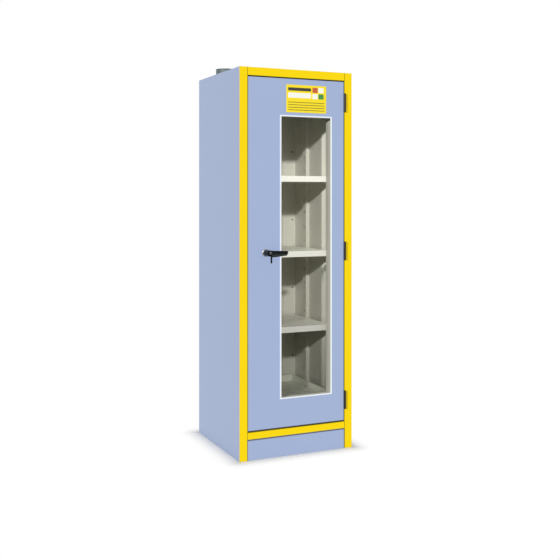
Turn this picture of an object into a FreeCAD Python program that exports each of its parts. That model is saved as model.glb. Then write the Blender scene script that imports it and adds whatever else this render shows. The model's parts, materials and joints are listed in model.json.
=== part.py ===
import FreeCAD, Part
import math
import os
import re
import Sketcher
from FreeCAD import Placement, Rotation, Vector

# Tall fire-resistant storage cabinet with one glazed hinged door, three shelves and a sump.
# X runs to the right, Y to the back and Z up. The origin is on the floor, under the middle of the box
# that holds the casing and the key in front of it.
# All sizes are in millimetres and are kept in one sheet. Every piece is bound to that sheet.

SIZES = {
    # Casing and walls
    "width": 630,
    "depth": 600,
    "height": 1950,
    "sheet": 1.2,
    "fold": 20,
    "side_wall": 60,
    "back_wall": 40,
    "roof_wall": 60,
    "floor_wall": 54,
    "liner": 5,
    "seat_gap": 0.3,
    "running_gap": 0.05,
    "overrun": 2,
    # Front frame and plinth
    "stile_width": 42,
    "top_rail_height": 42,
    "lower_rail_height": 36,
    "plinth_height": 104,
    "plinth_recess": 3,
    # Levelling feet
    "foot_head_radius": 17,
    "foot_head": 10,
    "foot_stud_radius": 6,
    "foot_inset": 50,
    # Ducts on the roof
    "duct_radius": 50,
    "duct_wall": 1.5,
    "duct_rise": 55,
    "duct_flange": 14,
    "duct_flange_plate": 2,
    "duct_inset_side": 118,
    "duct_inset_back": 95,
    # Slotted uprights and the clips that hang in them
    "upright_depth": 20,
    "upright_width": 40,
    "upright_sheet": 1.5,
    "front_upright_inset": 62,
    "rear_upright_inset": 377,
    "slot_distance": 78,
    "slot_margin": 123,
    "slot_width": 12,
    "slot_height": 8,
    "clip_sheet": 1.5,
    "clip_ledge": 12,
    "clip_tongue": 4,
    # Shelves, each a folded pan
    "slots_below_shelf": 4,
    "slots_per_shelf": 5,
    "shelf_sheet": 1.2,
    "shelf_lip": 30,
    "shelf_side_gap": 2,
    "shelf_front_inset": 90,
    "shelf_rear_gap": 12,
    # Sump tray and its perforated insert
    "tray_sheet": 1.5,
    "tray_top": 285,
    "tray_rim": 4,
    "insert_top": 252,
    "insert_gap": 3,
    "insert_slot_length": 40,
    "insert_slot_width": 10,
    "insert_columns": 5,
    "insert_rows": 7,
    # Door
    "door_gap": 4,
    "door_thickness": 50,
    "door_sheet": 1.2,
    "inner_skin_fold": 20,
    "seal_thickness": 5,
    "seal_width": 10,
    "seal_inset": 2,
    # Window in the door
    "window_left_inset": 219.5,
    "window_right_inset": 117.3,
    "window_bottom_inset": 148,
    "window_top_inset": 190,
    "trim_width": 6.5,
    "trim_face": 1.8,
    "trim_leg": 1.5,
    "glass_thickness": 20,
    "glass_setback": 5,
    "glass_bite": 12,
    "gasket_thickness": 3.4,
    "bead_face": 1.5,
    "bead_width": 20,
    # Hinges
    "hinge_length": 93,
    "hinge_inset": 112.5,
    "hinge_stand_off": 7,
    "knuckle_radius": 6.5,
    "knuckle_gap": 0.4,
    "hinge_pin_radius": 3,
    "hinge_leaf": 1.7,
    "hinge_leaf_depth": 35,
    # Rack and pinion lock
    "lock_inset": 140,
    "lock_height": 1026,
    "rod_depth": 18,
    "gear_module": 2,
    "pinion_teeth": 12,
    "pressure_angle": 20,
    "tooth_addendum": 1.4,
    "tooth_clearance": 0.4,
    "tooth_backlash": 0.3,
    "gear_face": 10,
    "rack_bar": 12,
    "rack_ahead": 12,
    "rack_behind": 31,
    "rack_spaces": 6,
    "rack_spaces_ahead": 1,
    "rod_radius": 5,
    "rod_setback": 2,
    "rod_guide_radius": 7,
    "rod_guide_length": 14,
    "lock_wall": 3,
    "lock_half_height": 39,
    "lock_side_room": 1.4,
    "lock_case_depth": 24.5,
    "lock_cover": 2.5,
    "keeper_half": 6.5,
    "keeper_wall": 2,
    "keeper_depth": 23,
    # Lever handle, spindle and cylinder
    "rosette_radius": 20,
    "rosette_thickness": 6,
    "spindle_radius": 6,
    "spindle_seat": 14,
    "spindle_tail": 2,
    "hub_neck_radius": 10,
    "hub_radius": 17,
    "lever_reach": 62,
    "lever_length": 97,
    "lever_thickness": 16,
    "lever_root_rise": 11,
    "lever_root_drop": 22,
    "lever_tip_rise": 9,
    "lever_tip_drop": 13,
    "lever_bevel": 14,
    "lever_back_edge": 3,
    "lever_root_inset": 8,
    "cylinder_radius": 11,
    "cylinder_depth": 30,
    "cylinder_proud": 1.5,
    # Plug and folding key
    "plug_radius": 6.5,
    "plug_length": 28,
    "keyway_height": 9,
    "key_thickness": 2,
    "key_fit": 0.1,
    "key_inside": 25,
    "key_cut": 2,
    "key_cut_distance": 5,
    "key_cut_count": 4,
    "key_pin_radius": 1.5,
    "key_eye_radius": 4,
    "bow_thickness": 5,
    "bow_half_width": 6,
    "bow_length": 48,
    "bow_stand_off": 2,
    "bow_hole_radius": 3,
}

doc = FreeCAD.newDocument("storage_cabinet")
sizes = doc.addObject("Spreadsheet::Sheet", "Sizes")
for row, (name, value) in enumerate(SIZES.items(), start=1):
    sizes.set(f"A{row}", name)
    sizes.set(f"B{row}", str(value))
    sizes.setAlias(f"B{row}", name)
doc.recompute()

size_words = re.compile(r"\b(" + "|".join(SIZES) + r")\b")
exported = []


def bound(text):
    """Point each size in an expression at its cell."""
    return size_words.sub(r"Sizes.\1", text)


def size(name):
    """Read one size from the sheet, for the shapes worked out here."""
    return float(sizes.get(name))


# Places that several pieces share, written as expressions of the sizes
key_reach = "(lever_reach + cylinder_proud + bow_stand_off + 2 * bow_half_width)"
front = f"(({key_reach} - depth) / 2)"
back = f"(({key_reach} + depth) / 2)"
half_width = "(width / 2)"
half_opening = "(width / 2 - stile_width)"
half_room = "(width / 2 - side_wall)"
opening_top = "(height - top_rail_height)"
opening_bottom = "(plinth_height + lower_rail_height)"
stop_face = f"({front} + door_thickness + seal_thickness)"
room_top = "(height - roof_wall)"
room_floor = "(plinth_height + floor_wall)"
room_back = f"({back} - back_wall)"
room_front = f"({stop_face} + sheet + seat_gap)"
base_top = "(plinth_height + sheet)"
half_board = f"({half_room} + liner + seat_gap)"
board_rear = f"({back} - 3 * sheet - seat_gap)"
duct_x = f"({half_width} - duct_inset_side)"
duct_y = f"({back} - duct_inset_back)"
duct_hole = "(duct_radius + seat_gap)"
web_face = f"({half_room} - upright_depth)"
half_shelf = f"({web_face} - shelf_side_gap)"
shelf_front = f"({front} + shelf_front_inset)"
shelf_rear = f"({room_back} - shelf_rear_gap)"
clip_drop = "(slot_height + 2 * clip_sheet)"
first_slot = f"({room_floor} + slot_margin)"
slot_count = f"(1 + floor(({room_top} - {first_slot} - slot_margin) / slot_distance))"
lowest_shelf = f"({first_slot} + slots_below_shelf * slot_distance + {clip_drop} + shelf_lip)"
half_door = f"({half_opening} - door_gap)"
door_bottom = f"({opening_bottom} + door_gap)"
door_top = f"({opening_top} - door_gap)"
door_back = f"({front} + door_thickness)"
window_left = f"(-{half_width} + window_left_inset)"
window_right = f"({half_width} - window_right_inset)"
window_bottom = f"({opening_bottom} + window_bottom_inset)"
window_top = f"({opening_top} - window_top_inset)"
glass_front = f"({front} + glass_setback)"
glass_back = f"({glass_front} + glass_thickness)"
hinge_x = f"({half_opening} - door_gap / 2)"
hinge_y = f"({front} - hinge_stand_off)"
lock_x = f"(-{half_width} + lock_inset)"
rod_y = f"({front} + rod_depth)"
pitch_radius = "(gear_module * pinion_teeth / 2)"
tooth_pitch = "(pi * gear_module)"
rod_offset = f"({pitch_radius} - tooth_addendum + rack_bar / 2)"
lock_half_room = f"({rod_offset} + rack_bar / 2 + lock_side_room)"
lock_front = f"({front} + sheet + seat_gap)"
lock_back = f"({lock_front} + lock_case_depth)"
spindle_end = "(sheet + seat_gap + lock_case_depth + lock_cover + spindle_tail)"
key_pivot = "(lever_reach + cylinder_proud + bow_half_width + bow_stand_off)"


def rectangle(x0, x1, y0, y1):
    """Four corners of a rectangle."""
    return [(x0, y0), (x1, y0), (x1, y1), (x0, y1)]


def ring_of(x0, x1, y0, y1, inside):
    """A rectangular frame: an outer rectangle, and the same one drawn in by the given width."""
    inner = rectangle(f"{x0} + {inside}", f"{x1} - {inside}", f"{y0} + {inside}", f"{y1} - {inside}")
    return rectangle(x0, x1, y0, y1), inner


def circle(x, y, radius):
    """A round loop for a sketch."""
    return {"x": x, "y": y, "radius": radius}


def hold_point(sketch, geometry, point, x, y):
    """Tie one point of a sketch to two expressions, measured from the sketch's origin."""
    at = sketch.getPoint(geometry, point)
    for kind, guess, text in (("DistanceX", at.x, x), ("DistanceY", at.y, y)):
        index = sketch.addConstraint(Sketcher.Constraint(kind, -1, 1, geometry, point, guess))
        sketch.setExpression(f"Constraints[{index}]", bound(text))


def draw_polygon(sketch, corners):
    """Draw a closed outline of straight lines and tie each corner to its expressions."""
    first = sketch.GeometryCount
    count = len(corners)
    turn = 2 * math.pi / count
    guess = [Vector(math.cos(i * turn), math.sin(i * turn), 0) for i in range(count)]
    for i in range(count):
        sketch.addGeometry(Part.LineSegment(guess[i], guess[(i + 1) % count]), False)
    for i in range(count):
        following = first + (i + 1) % count
        sketch.addConstraint(Sketcher.Constraint("Coincident", first + i, 2, following, 1))
    for i, (x, y) in enumerate(corners):
        hold_point(sketch, first + i, 1, x, y)


def draw_circle(sketch, loop):
    """Draw a circle and tie its centre and radius."""
    index = sketch.addGeometry(Part.Circle(Vector(0, 0, 0), Vector(0, 0, 1), 1), False)
    hold_point(sketch, index, 3, loop["x"], loop["y"])
    radius = sketch.addConstraint(Sketcher.Constraint("Radius", index, 1))
    sketch.setExpression(f"Constraints[{radius}]", bound(loop["radius"]))


def new_sketch(body, plane, offset, loops):
    """Draw loops on one of the body's own planes, moved along that plane's normal."""
    sketch = body.newObject("Sketcher::SketchObject", "Outline")
    support = [item for item in body.Origin.OriginFeatures if item.Role == plane][0]
    sketch.AttachmentSupport = [(support, "")]
    sketch.MapMode = "FlatFace"
    sketch.setExpression("AttachmentOffset.Base.z", bound(offset))
    for loop in loops:
        if isinstance(loop, dict):
            draw_circle(sketch, loop)
        else:
            draw_polygon(sketch, loop)
    return sketch


def new_body(label, export=True):
    """Start a piece. Its label names its file."""
    body = doc.addObject("PartDesign::Body", label)
    body.Label = label
    if export:
        exported.append(body)
    return body


def pad(body, plane, low, high, *loops):
    """Add material between two heights along X, Y or Z. Sketches on XZ face the front."""
    offset = f"-({high})" if plane == "XZ_Plane" else low
    feature = body.newObject("PartDesign::Pad", "Pad")
    feature.Profile = new_sketch(body, plane, offset, loops)
    feature.setExpression("Length", bound(f"({high}) - ({low})"))
    doc.recompute()
    return feature


def pocket(body, plane, low, high, *loops):
    """Remove material between two heights, and make sure that something was removed."""
    before = body.Shape.Volume
    offset = f"-({low})" if plane == "XZ_Plane" else high
    feature = body.newObject("PartDesign::Pocket", "Pocket")
    feature.Profile = new_sketch(body, plane, offset, loops)
    feature.setExpression("Length", bound(f"({high}) - ({low})"))
    doc.recompute()
    if not body.Shape.Volume < before:
        raise RuntimeError(f"{body.Label}: a cut removed nothing")
    return feature


def repeat(body, feature, axis, length, occurrences):
    """Repeat a feature along one of the body's axes; length is from the first to the last."""
    before = body.Shape.Volume
    pattern = body.newObject("PartDesign::LinearPattern", "Row")
    pattern.Originals = feature if isinstance(feature, list) else [feature]
    direction = [item for item in body.Origin.OriginFeatures if item.Role == axis][0]
    pattern.Direction = (direction, [""])
    pattern.setExpression("Length", bound(length))
    pattern.setExpression("Occurrences", bound(occurrences))
    body.Tip = pattern
    doc.recompute()
    if not body.Shape.Volume < before:
        raise RuntimeError(f"{body.Label}: a row of cuts removed nothing")
    return pattern


def prism(label, plane, low, high, *loops, export=True):
    """A piece of one section: its outline and any holes, carried between two heights."""
    body = new_body(label, export)
    pad(body, plane, low, high, *loops)
    return body


def block(label, x0, x1, y0, y1, z0, z1):
    """A flat board or plate."""
    return prism(label, "XY_Plane", z0, z1, rectangle(x0, x1, y0, y1))


def turned(label, outline, export=True):
    """A round piece: a half outline of (radius, height) turned about the body's Z axis."""
    body = new_body(label, export)
    feature = body.newObject("PartDesign::Revolution", "Turned")
    sketch = new_sketch(body, "XZ_Plane", "0", [outline])
    feature.Profile = sketch
    feature.ReferenceAxis = (sketch, ["V_Axis"])
    feature.Angle = 360
    doc.recompute()
    return body


def stand(piece, x, y, z, rotation=Rotation()):
    """Set a piece that was drawn about its own axis in its place."""
    piece.Placement = Placement(Vector(0, 0, 0), rotation)
    for letter, text in zip("xyz", (x, y, z)):
        piece.setExpression(f"Placement.Base.{letter}", bound(text))


def group(label, pieces):
    """Identical pieces that share one file, each still a solid of its own."""
    compound = doc.addObject("Part::Compound", label)
    compound.Label = label
    compound.Links = pieces
    exported.append(compound)
    return compound


toward_front = Rotation(Vector(1, 0, 0), 90)
upside_down = Rotation(Vector(1, 0, 0), 180)


# Casing: outer sheets
def side_panel(label, side):
    """Outer side sheet with a flange folded in behind the back sheet."""
    outline = [
        (f"{side} * {half_width}", f"{front} + sheet"),
        (f"{side} * {half_width}", back),
        (f"{side} * ({half_width} - fold)", back),
        (f"{side} * ({half_width} - fold)", f"{back} - sheet"),
        (f"{side} * ({half_width} - sheet)", f"{back} - sheet"),
        (f"{side} * ({half_width} - sheet)", f"{front} + sheet"),
    ]
    prism(label, "XY_Plane", "0", "height", outline)


side_panel("left_side_panel", "-1")
side_panel("right_side_panel", "1")
block(
    "back_panel",
    f"-({half_width} - sheet)",
    f"{half_width} - sheet",
    f"{back} - 2 * sheet",
    f"{back} - sheet",
    "0",
    "height - sheet",
)

# The roof sheet folds down inside the top rail and inside the back sheet
roof_panel = prism(
    "roof_panel",
    "YZ_Plane",
    f"-({half_width} - sheet)",
    f"{half_width} - sheet",
    [
        (f"{front} + sheet", "height"),
        (f"{back} - sheet", "height"),
        (f"{back} - sheet", "height - sheet"),
        (f"{back} - 2 * sheet", "height - sheet"),
        (f"{back} - 2 * sheet", "height - fold"),
        (f"{back} - 3 * sheet", "height - fold"),
        (f"{back} - 3 * sheet", "height - sheet"),
        (f"{front} + 2 * sheet", "height - sheet"),
        (f"{front} + 2 * sheet", "height - fold"),
        (f"{front} + sheet", "height - fold"),
    ],
)
for side in ("-1", "1"):
    across = [f"{side} * ({half_opening} - seat_gap)", f"{side} * ({half_width} + overrun)"]
    low, high = (across[1], across[0]) if side == "-1" else across
    pocket(
        roof_panel,
        "XZ_Plane",
        f"{front}",
        f"{front} + 2 * sheet + overrun",
        rectangle(low, high, "height - fold - overrun", "height - sheet"),
    )
pocket(
    roof_panel,
    "XY_Plane",
    "height - fold",
    "height + overrun",
    circle(f"-{duct_x}", duct_y, duct_hole),
    circle(duct_x, duct_y, duct_hole),
)

# The base is a pan turned upside down: the floor of the casing and a rim all round
base_panel = block(
    "base_panel",
    f"-({half_width} - sheet)",
    f"{half_width} - sheet",
    f"{stop_face} + sheet",
    f"{back} - 2 * sheet",
    f"{base_top} - fold",
    base_top,
)
pocket(
    base_panel,
    "XY_Plane",
    f"{base_top} - fold - overrun",
    "plinth_height",
    rectangle(
        f"-({half_width} - 2 * sheet)",
        f"{half_width} - 2 * sheet",
        f"{stop_face} + 2 * sheet",
        f"{back} - 3 * sheet",
    ),
)

prism(
    "plinth_panel",
    "YZ_Plane",
    f"-({half_opening} - seat_gap)",
    f"{half_opening} - seat_gap",
    [
        (f"{front} + plinth_recess", "0"),
        (f"{front} + plinth_recess + fold", "0"),
        (f"{front} + plinth_recess + fold", "sheet"),
        (f"{front} + plinth_recess + sheet", "sheet"),
        (f"{front} + plinth_recess + sheet", "plinth_height - seat_gap - sheet"),
        (f"{front} + plinth_recess + fold", "plinth_height - seat_gap - sheet"),
        (f"{front} + plinth_recess + fold", "plinth_height - seat_gap"),
        (f"{front} + plinth_recess", "plinth_height - seat_gap"),
    ],
)


# Front frame: folded stiles and rails with a stop for the door's seal
def stile(label, side):
    """Face, inner return, jamb and stop in one folded strip, full height."""
    outline = [
        (f"{side} * {half_width}", front),
        (f"{side} * {half_width}", f"{front} + sheet"),
        (f"{side} * ({half_width} - sheet)", f"{front} + sheet"),
        (f"{side} * ({half_width} - sheet)", f"{front} + fold"),
        (f"{side} * ({half_width} - 2 * sheet)", f"{front} + fold"),
        (f"{side} * ({half_width} - 2 * sheet)", f"{front} + sheet"),
        (f"{side} * ({half_opening} + sheet)", f"{front} + sheet"),
        (f"{side} * ({half_opening} + sheet)", f"{stop_face} + sheet"),
        (f"{side} * {half_room}", f"{stop_face} + sheet"),
        (f"{side} * {half_room}", stop_face),
        (f"{side} * {half_opening}", stop_face),
        (f"{side} * {half_opening}", front),
    ]
    body = prism(label, "XY_Plane", "0", "height", outline)
    pocket(
        body,
        "XY_Plane",
        "height - sheet",
        "height + overrun",
        rectangle(
            f"-{half_width} - overrun",
            f"{half_width} + overrun",
            f"{front} + sheet",
            f"{stop_face} + sheet + overrun",
        ),
    )


def free_stop_ends(body, low, high):
    """Cut the stop of a rail back to the room, where the stiles' stops run past."""
    for x0, x1 in (
        (f"-{half_opening} - overrun", f"-{half_room}"),
        (half_room, f"{half_opening} + overrun"),
    ):
        pocket(body, "XZ_Plane", stop_face, f"{stop_face} + sheet + overrun", rectangle(x0, x1, low, high))


stile("left_stile", "-1")
stile("right_stile", "1")

top_rail = prism(
    "top_rail",
    "YZ_Plane",
    f"-{half_opening}",
    half_opening,
    [
        (front, opening_top),
        (front, "height"),
        (f"{front} + sheet", "height"),
        (f"{front} + sheet", f"{opening_top} + sheet"),
        (f"{stop_face} + sheet", f"{opening_top} + sheet"),
        (f"{stop_face} + sheet", room_top),
        (stop_face, room_top),
        (stop_face, opening_top),
    ],
)
free_stop_ends(top_rail, f"{room_top} - overrun", f"{opening_top} + sheet + overrun")
pocket(
    top_rail,
    "XY_Plane",
    f"{opening_top} - overrun",
    f"{opening_top} + sheet + overrun",
    rectangle(
        f"{lock_x} - {rod_offset} - keeper_half",
        f"{lock_x} - {rod_offset} + keeper_half",
        f"{rod_y} - keeper_half",
        f"{rod_y} + keeper_half",
    ),
)

lower_rail = prism(
    "lower_rail",
    "YZ_Plane",
    f"-{half_opening}",
    half_opening,
    [
        (front, "plinth_height"),
        (front, opening_bottom),
        (stop_face, opening_bottom),
        (stop_face, room_floor),
        (f"{stop_face} + sheet", room_floor),
        (f"{stop_face} + sheet", f"{opening_bottom} - sheet"),
        (f"{front} + sheet", f"{opening_bottom} - sheet"),
        (f"{front} + sheet", "plinth_height + sheet"),
        (f"{front} + fold", "plinth_height + sheet"),
        (f"{front} + fold", "plinth_height"),
    ],
)
free_stop_ends(lower_rail, f"{opening_bottom} - sheet - overrun", f"{room_floor} + overrun")
pocket(
    lower_rail,
    "XY_Plane",
    f"{opening_bottom} - sheet - overrun",
    f"{opening_bottom} + overrun",
    rectangle(
        f"{lock_x} + {rod_offset} - keeper_half",
        f"{lock_x} + {rod_offset} + keeper_half",
        f"{rod_y} - keeper_half",
        f"{rod_y} + keeper_half",
    ),
)


def keeper(label, x, z, rotation):
    """A square box that a rod's end enters, open towards the door."""
    half = "(keeper_half + keeper_wall)"
    body = block(label, f"-{half}", half, f"-{half}", half, "0", "keeper_depth + keeper_wall")
    room = rectangle("-keeper_half", "keeper_half", "-keeper_half", "keeper_half")
    pocket(body, "XY_Plane", "-overrun", "keeper_depth", room)
    stand(body, x, rod_y, z, rotation)


keeper("upper_keeper", f"{lock_x} - {rod_offset}", f"{opening_top} + sheet", Rotation())
keeper("lower_keeper", f"{lock_x} + {rod_offset}", f"{opening_bottom} - sheet", upside_down)


# Insulation boards between the outer sheets and the liners
def side_insulation(label, side):
    """Thick board of the side wall, stepped to fill the stile as well."""
    outer = f"{side} * ({half_width} - 2 * sheet - seat_gap)"
    step = f"{side} * ({half_opening} + sheet + seat_gap)"
    outline = [
        (outer, f"{front} + sheet + seat_gap"),
        (outer, board_rear),
        (f"{side} * {half_board}", board_rear),
        (f"{side} * {half_board}", room_front),
        (step, room_front),
        (step, f"{front} + sheet + seat_gap"),
    ]
    prism(label, "XY_Plane", f"{base_top} + seat_gap", "height - sheet - seat_gap", outline)


side_insulation("left_insulation", "-1")
side_insulation("right_insulation", "1")
block(
    "back_insulation",
    f"-({half_board} - seat_gap)",
    f"{half_board} - seat_gap",
    f"{room_back} + liner + seat_gap",
    board_rear,
    f"{base_top} + seat_gap",
    f"{room_top} + liner",
)
block(
    "floor_insulation",
    f"-({half_board} - seat_gap)",
    f"{half_board} - seat_gap",
    room_front,
    f"{room_back} + liner",
    f"{base_top} + seat_gap",
    f"{room_floor} - liner - seat_gap",
)
roof_insulation = prism(
    "roof_insulation",
    "YZ_Plane",
    f"-({half_board} - seat_gap)",
    f"{half_board} - seat_gap",
    [
        (f"{front} + 2 * sheet + seat_gap", f"{opening_top} + sheet + seat_gap"),
        (f"{front} + 2 * sheet + seat_gap", "height - sheet - seat_gap"),
        (board_rear, "height - sheet - seat_gap"),
        (board_rear, f"{room_top} + liner + seat_gap"),
        (room_front, f"{room_top} + liner + seat_gap"),
        (room_front, f"{opening_top} + sheet + seat_gap"),
    ],
)
for side in ("-1", "1"):
    across = [f"{side} * ({half_room} - seat_gap)", f"{side} * ({half_board} + overrun)"]
    low, high = (across[1], across[0]) if side == "-1" else across
    pocket(roof_insulation, "XY_Plane", opening_top, "height", rectangle(low, high, front, room_front))
pocket(
    roof_insulation,
    "XY_Plane",
    room_top,
    "height",
    circle(f"-{duct_x}", duct_y, duct_hole),
    circle(duct_x, duct_y, duct_hole),
)
pocket(
    roof_insulation,
    "XY_Plane",
    opening_top,
    f"{opening_top} + sheet + keeper_depth + keeper_wall + seat_gap",
    rectangle(
        f"{lock_x} - {rod_offset} - keeper_half - keeper_wall - seat_gap",
        f"{lock_x} - {rod_offset} + keeper_half + keeper_wall + seat_gap",
        f"{rod_y} - keeper_half - keeper_wall - seat_gap",
        f"{rod_y} + keeper_half + keeper_wall + seat_gap",
    ),
)

# Liners: the pale walls, ceiling and floor of the room
for label, side in (("left_liner", "-1"), ("right_liner", "1")):
    prism(
        label,
        "XY_Plane",
        room_floor,
        room_top,
        rectangle(f"{side} * {half_room}", f"{side} * ({half_room} + liner)", room_front, room_back),
    )
block(
    "back_liner",
    f"-({half_room} + liner)",
    f"{half_room} + liner",
    room_back,
    f"{room_back} + liner",
    room_floor,
    room_top,
)
ceiling_liner = block(
    "ceiling_liner",
    f"-({half_room} + liner)",
    f"{half_room} + liner",
    room_front,
    f"{room_back} + liner",
    room_top,
    f"{room_top} + liner",
)
pocket(
    ceiling_liner,
    "XY_Plane",
    f"{room_top} - overrun",
    f"{room_top} + liner + overrun",
    circle(f"-{duct_x}", duct_y, duct_hole),
    circle(duct_x, duct_y, duct_hole),
)
block(
    "floor_liner",
    f"-({half_room} + liner)",
    f"{half_room} + liner",
    room_front,
    f"{room_back} + liner",
    f"{room_floor} - liner",
    room_floor,
)

# Ducts: a flanged tube from the ceiling of the room to above the roof, one for air out and one for air in
duct_outline = [
    ("duct_radius - duct_wall", "0"),
    ("duct_radius", "0"),
    ("duct_radius", "roof_wall"),
    ("duct_radius + duct_flange", "roof_wall"),
    ("duct_radius + duct_flange", "roof_wall + duct_flange_plate"),
    ("duct_radius", "roof_wall + duct_flange_plate"),
    ("duct_radius", "roof_wall + duct_rise"),
    ("duct_radius - duct_wall", "roof_wall + duct_rise"),
]
stand(turned("exhaust_spigot", duct_outline), f"-{duct_x}", duct_y, room_top)
stand(turned("air_inlet_spigot", duct_outline), duct_x, duct_y, room_top)

# Levelling feet: hexagon-headed bolts that stand on their heads, hidden behind the plinth
foot_head_outline = []
for corner in range(6):
    turn = f"({corner} * 60)"
    foot_head_outline.append((f"foot_head_radius * cos({turn})", f"foot_head_radius * sin({turn})"))
feet = []
for x in (f"-({half_width} - foot_inset)", f"{half_width} - foot_inset"):
    for y in (f"{stop_face} + foot_inset", f"{back} - foot_inset"):
        foot = prism("foot", "XY_Plane", "0", "foot_head", foot_head_outline, export=False)
        pad(foot, "XY_Plane", "foot_head", "plinth_height", circle("0", "0", "foot_stud_radius"))
        stand(foot, x, y, "0")
        feet.append(foot)
group("levelling_feet", feet)


# Slotted uprights on the side walls
def upright(side, inset):
    """A channel with its open side to the wall and a row of slots in its web."""
    near = f"{front} + {inset}"
    far = f"{front} + {inset} + upright_width"
    outline = [
        (f"{side} * {half_room}", near),
        (f"{side} * {web_face}", near),
        (f"{side} * {web_face}", far),
        (f"{side} * {half_room}", far),
        (f"{side} * {half_room}", f"{far} - upright_sheet"),
        (f"{side} * ({web_face} + upright_sheet)", f"{far} - upright_sheet"),
        (f"{side} * ({web_face} + upright_sheet)", f"{near} + upright_sheet"),
        (f"{side} * {half_room}", f"{near} + upright_sheet"),
    ]
    body = prism("upright", "XY_Plane", room_floor, f"{room_top} - seat_gap", outline, export=False)
    middle = f"({near} + upright_width / 2)"
    slot = rectangle(
        f"{middle} - slot_width / 2",
        f"{middle} + slot_width / 2",
        f"{first_slot} - slot_height / 2",
        f"{first_slot} + slot_height / 2",
    )
    reach = [f"{side} * ({web_face} - overrun)", f"{side} * ({web_face} + upright_sheet + overrun)"]
    low, high = (reach[1], reach[0]) if side == "-1" else reach
    cut = pocket(body, "YZ_Plane", low, high, slot)
    repeat(body, cut, "Z_Axis", f"slot_distance * ({slot_count} - 1)", slot_count)
    return body


for label, side in (("left_uprights", "-1"), ("right_uprights", "1")):
    group(label, [upright(side, "front_upright_inset"), upright(side, "rear_upright_inset")])


# Shelves and the clips under them
def shelf(label, top):
    """A pan turned upside down, with a deep lip on every side."""
    body = block(label, f"-{half_shelf}", half_shelf, shelf_front, shelf_rear, f"{top} - shelf_lip", top)
    pocket(
        body,
        "XY_Plane",
        f"{top} - shelf_lip - overrun",
        f"{top} - shelf_sheet",
        rectangle(
            f"-({half_shelf} - shelf_sheet)",
            f"{half_shelf} - shelf_sheet",
            f"{shelf_front} + shelf_sheet",
            f"{shelf_rear} - shelf_sheet",
        ),
    )


def clip(side, inset, top):
    """A bent clip: a tongue through the slot, a plate on the web and a ledge under the shelf."""
    ledge = f"({top} - shelf_lip - seat_gap)"
    slot_middle = f"({top} - shelf_lip - {clip_drop})"
    plate = f"{side} * ({web_face} - seat_gap)"
    bent = f"{side} * ({web_face} - seat_gap - clip_sheet)"
    outline = [
        (f"{side} * ({web_face} - seat_gap - clip_ledge)", ledge),
        (plate, ledge),
        (plate, f"{slot_middle} + slot_height / 2 - seat_gap"),
        (f"{side} * ({web_face} + clip_tongue)", f"{slot_middle} + slot_height / 2 - seat_gap"),
        (f"{side} * ({web_face} + clip_tongue)", f"{slot_middle} - slot_height / 2 + seat_gap"),
        (bent, f"{slot_middle} - slot_height / 2 + seat_gap"),
        (bent, f"{ledge} - clip_sheet"),
        (f"{side} * ({web_face} - seat_gap - clip_ledge)", f"{ledge} - clip_sheet"),
    ]
    middle = f"({front} + {inset} + upright_width / 2)"
    reach = "(slot_width / 2 - seat_gap)"
    return prism("clip", "XZ_Plane", f"{middle} - {reach}", f"{middle} + {reach}", outline, export=False)


clips = []
for level, label in enumerate(("lower_shelf", "middle_shelf", "upper_shelf")):
    top = f"({lowest_shelf} + {level} * slots_per_shelf * slot_distance)"
    shelf(label, top)
    for side in ("-1", "1"):
        for inset in ("front_upright_inset", "rear_upright_inset"):
            clips.append(clip(side, inset, top))
group("shelf_clips", clips)

# Sump tray with a folded rim, and the perforated insert that stands in it
tray_bottom = f"({room_floor} + seat_gap)"
half_tray = f"({half_shelf} - tray_rim)"
sump_tray = block(
    "sump_tray", f"-{half_tray}", half_tray, shelf_front, shelf_rear, tray_bottom, "tray_top"
)
pad(
    sump_tray,
    "XY_Plane",
    "tray_top - tray_sheet",
    "tray_top",
    rectangle(f"-{half_shelf}", half_shelf, f"{shelf_front} - tray_rim", f"{shelf_rear} + tray_rim"),
)
pocket(
    sump_tray,
    "XY_Plane",
    f"{tray_bottom} + tray_sheet",
    "tray_top + overrun",
    rectangle(
        f"-({half_tray} - tray_sheet)",
        f"{half_tray} - tray_sheet",
        f"{shelf_front} + tray_sheet",
        f"{shelf_rear} - tray_sheet",
    ),
)
half_insert = f"({half_tray} - tray_sheet - insert_gap)"
insert_front = f"({shelf_front} + tray_sheet + insert_gap)"
insert_rear = f"({shelf_rear} - tray_sheet - insert_gap)"
insert_foot = f"({tray_bottom} + tray_sheet + seat_gap)"
tray_insert = prism(
    "tray_insert",
    "YZ_Plane",
    f"-{half_insert}",
    half_insert,
    [
        (insert_front, insert_foot),
        (insert_front, "insert_top"),
        (insert_rear, "insert_top"),
        (insert_rear, insert_foot),
        (f"{insert_rear} - tray_sheet", insert_foot),
        (f"{insert_rear} - tray_sheet", "insert_top - tray_sheet"),
        (f"{insert_front} + tray_sheet", "insert_top - tray_sheet"),
        (f"{insert_front} + tray_sheet", insert_foot),
    ],
)
column_spacing = f"(2 * {half_insert} / insert_columns)"
row_spacing = f"(({insert_rear} - {insert_front}) / insert_rows)"
first_column = f"(-{half_insert} + {column_spacing} / 2)"
first_row = f"({insert_front} + {row_spacing} / 2)"
drain_slot = pocket(
    tray_insert,
    "XY_Plane",
    "insert_top - tray_sheet - overrun",
    "insert_top + overrun",
    rectangle(
        f"{first_column} - insert_slot_length / 2",
        f"{first_column} + insert_slot_length / 2",
        f"{first_row} - insert_slot_width / 2",
        f"{first_row} + insert_slot_width / 2",
    ),
)
drain_slots = tray_insert.newObject("PartDesign::MultiTransform", "DrainSlots")
drain_slots.Originals = [drain_slot]
steps = []
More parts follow.
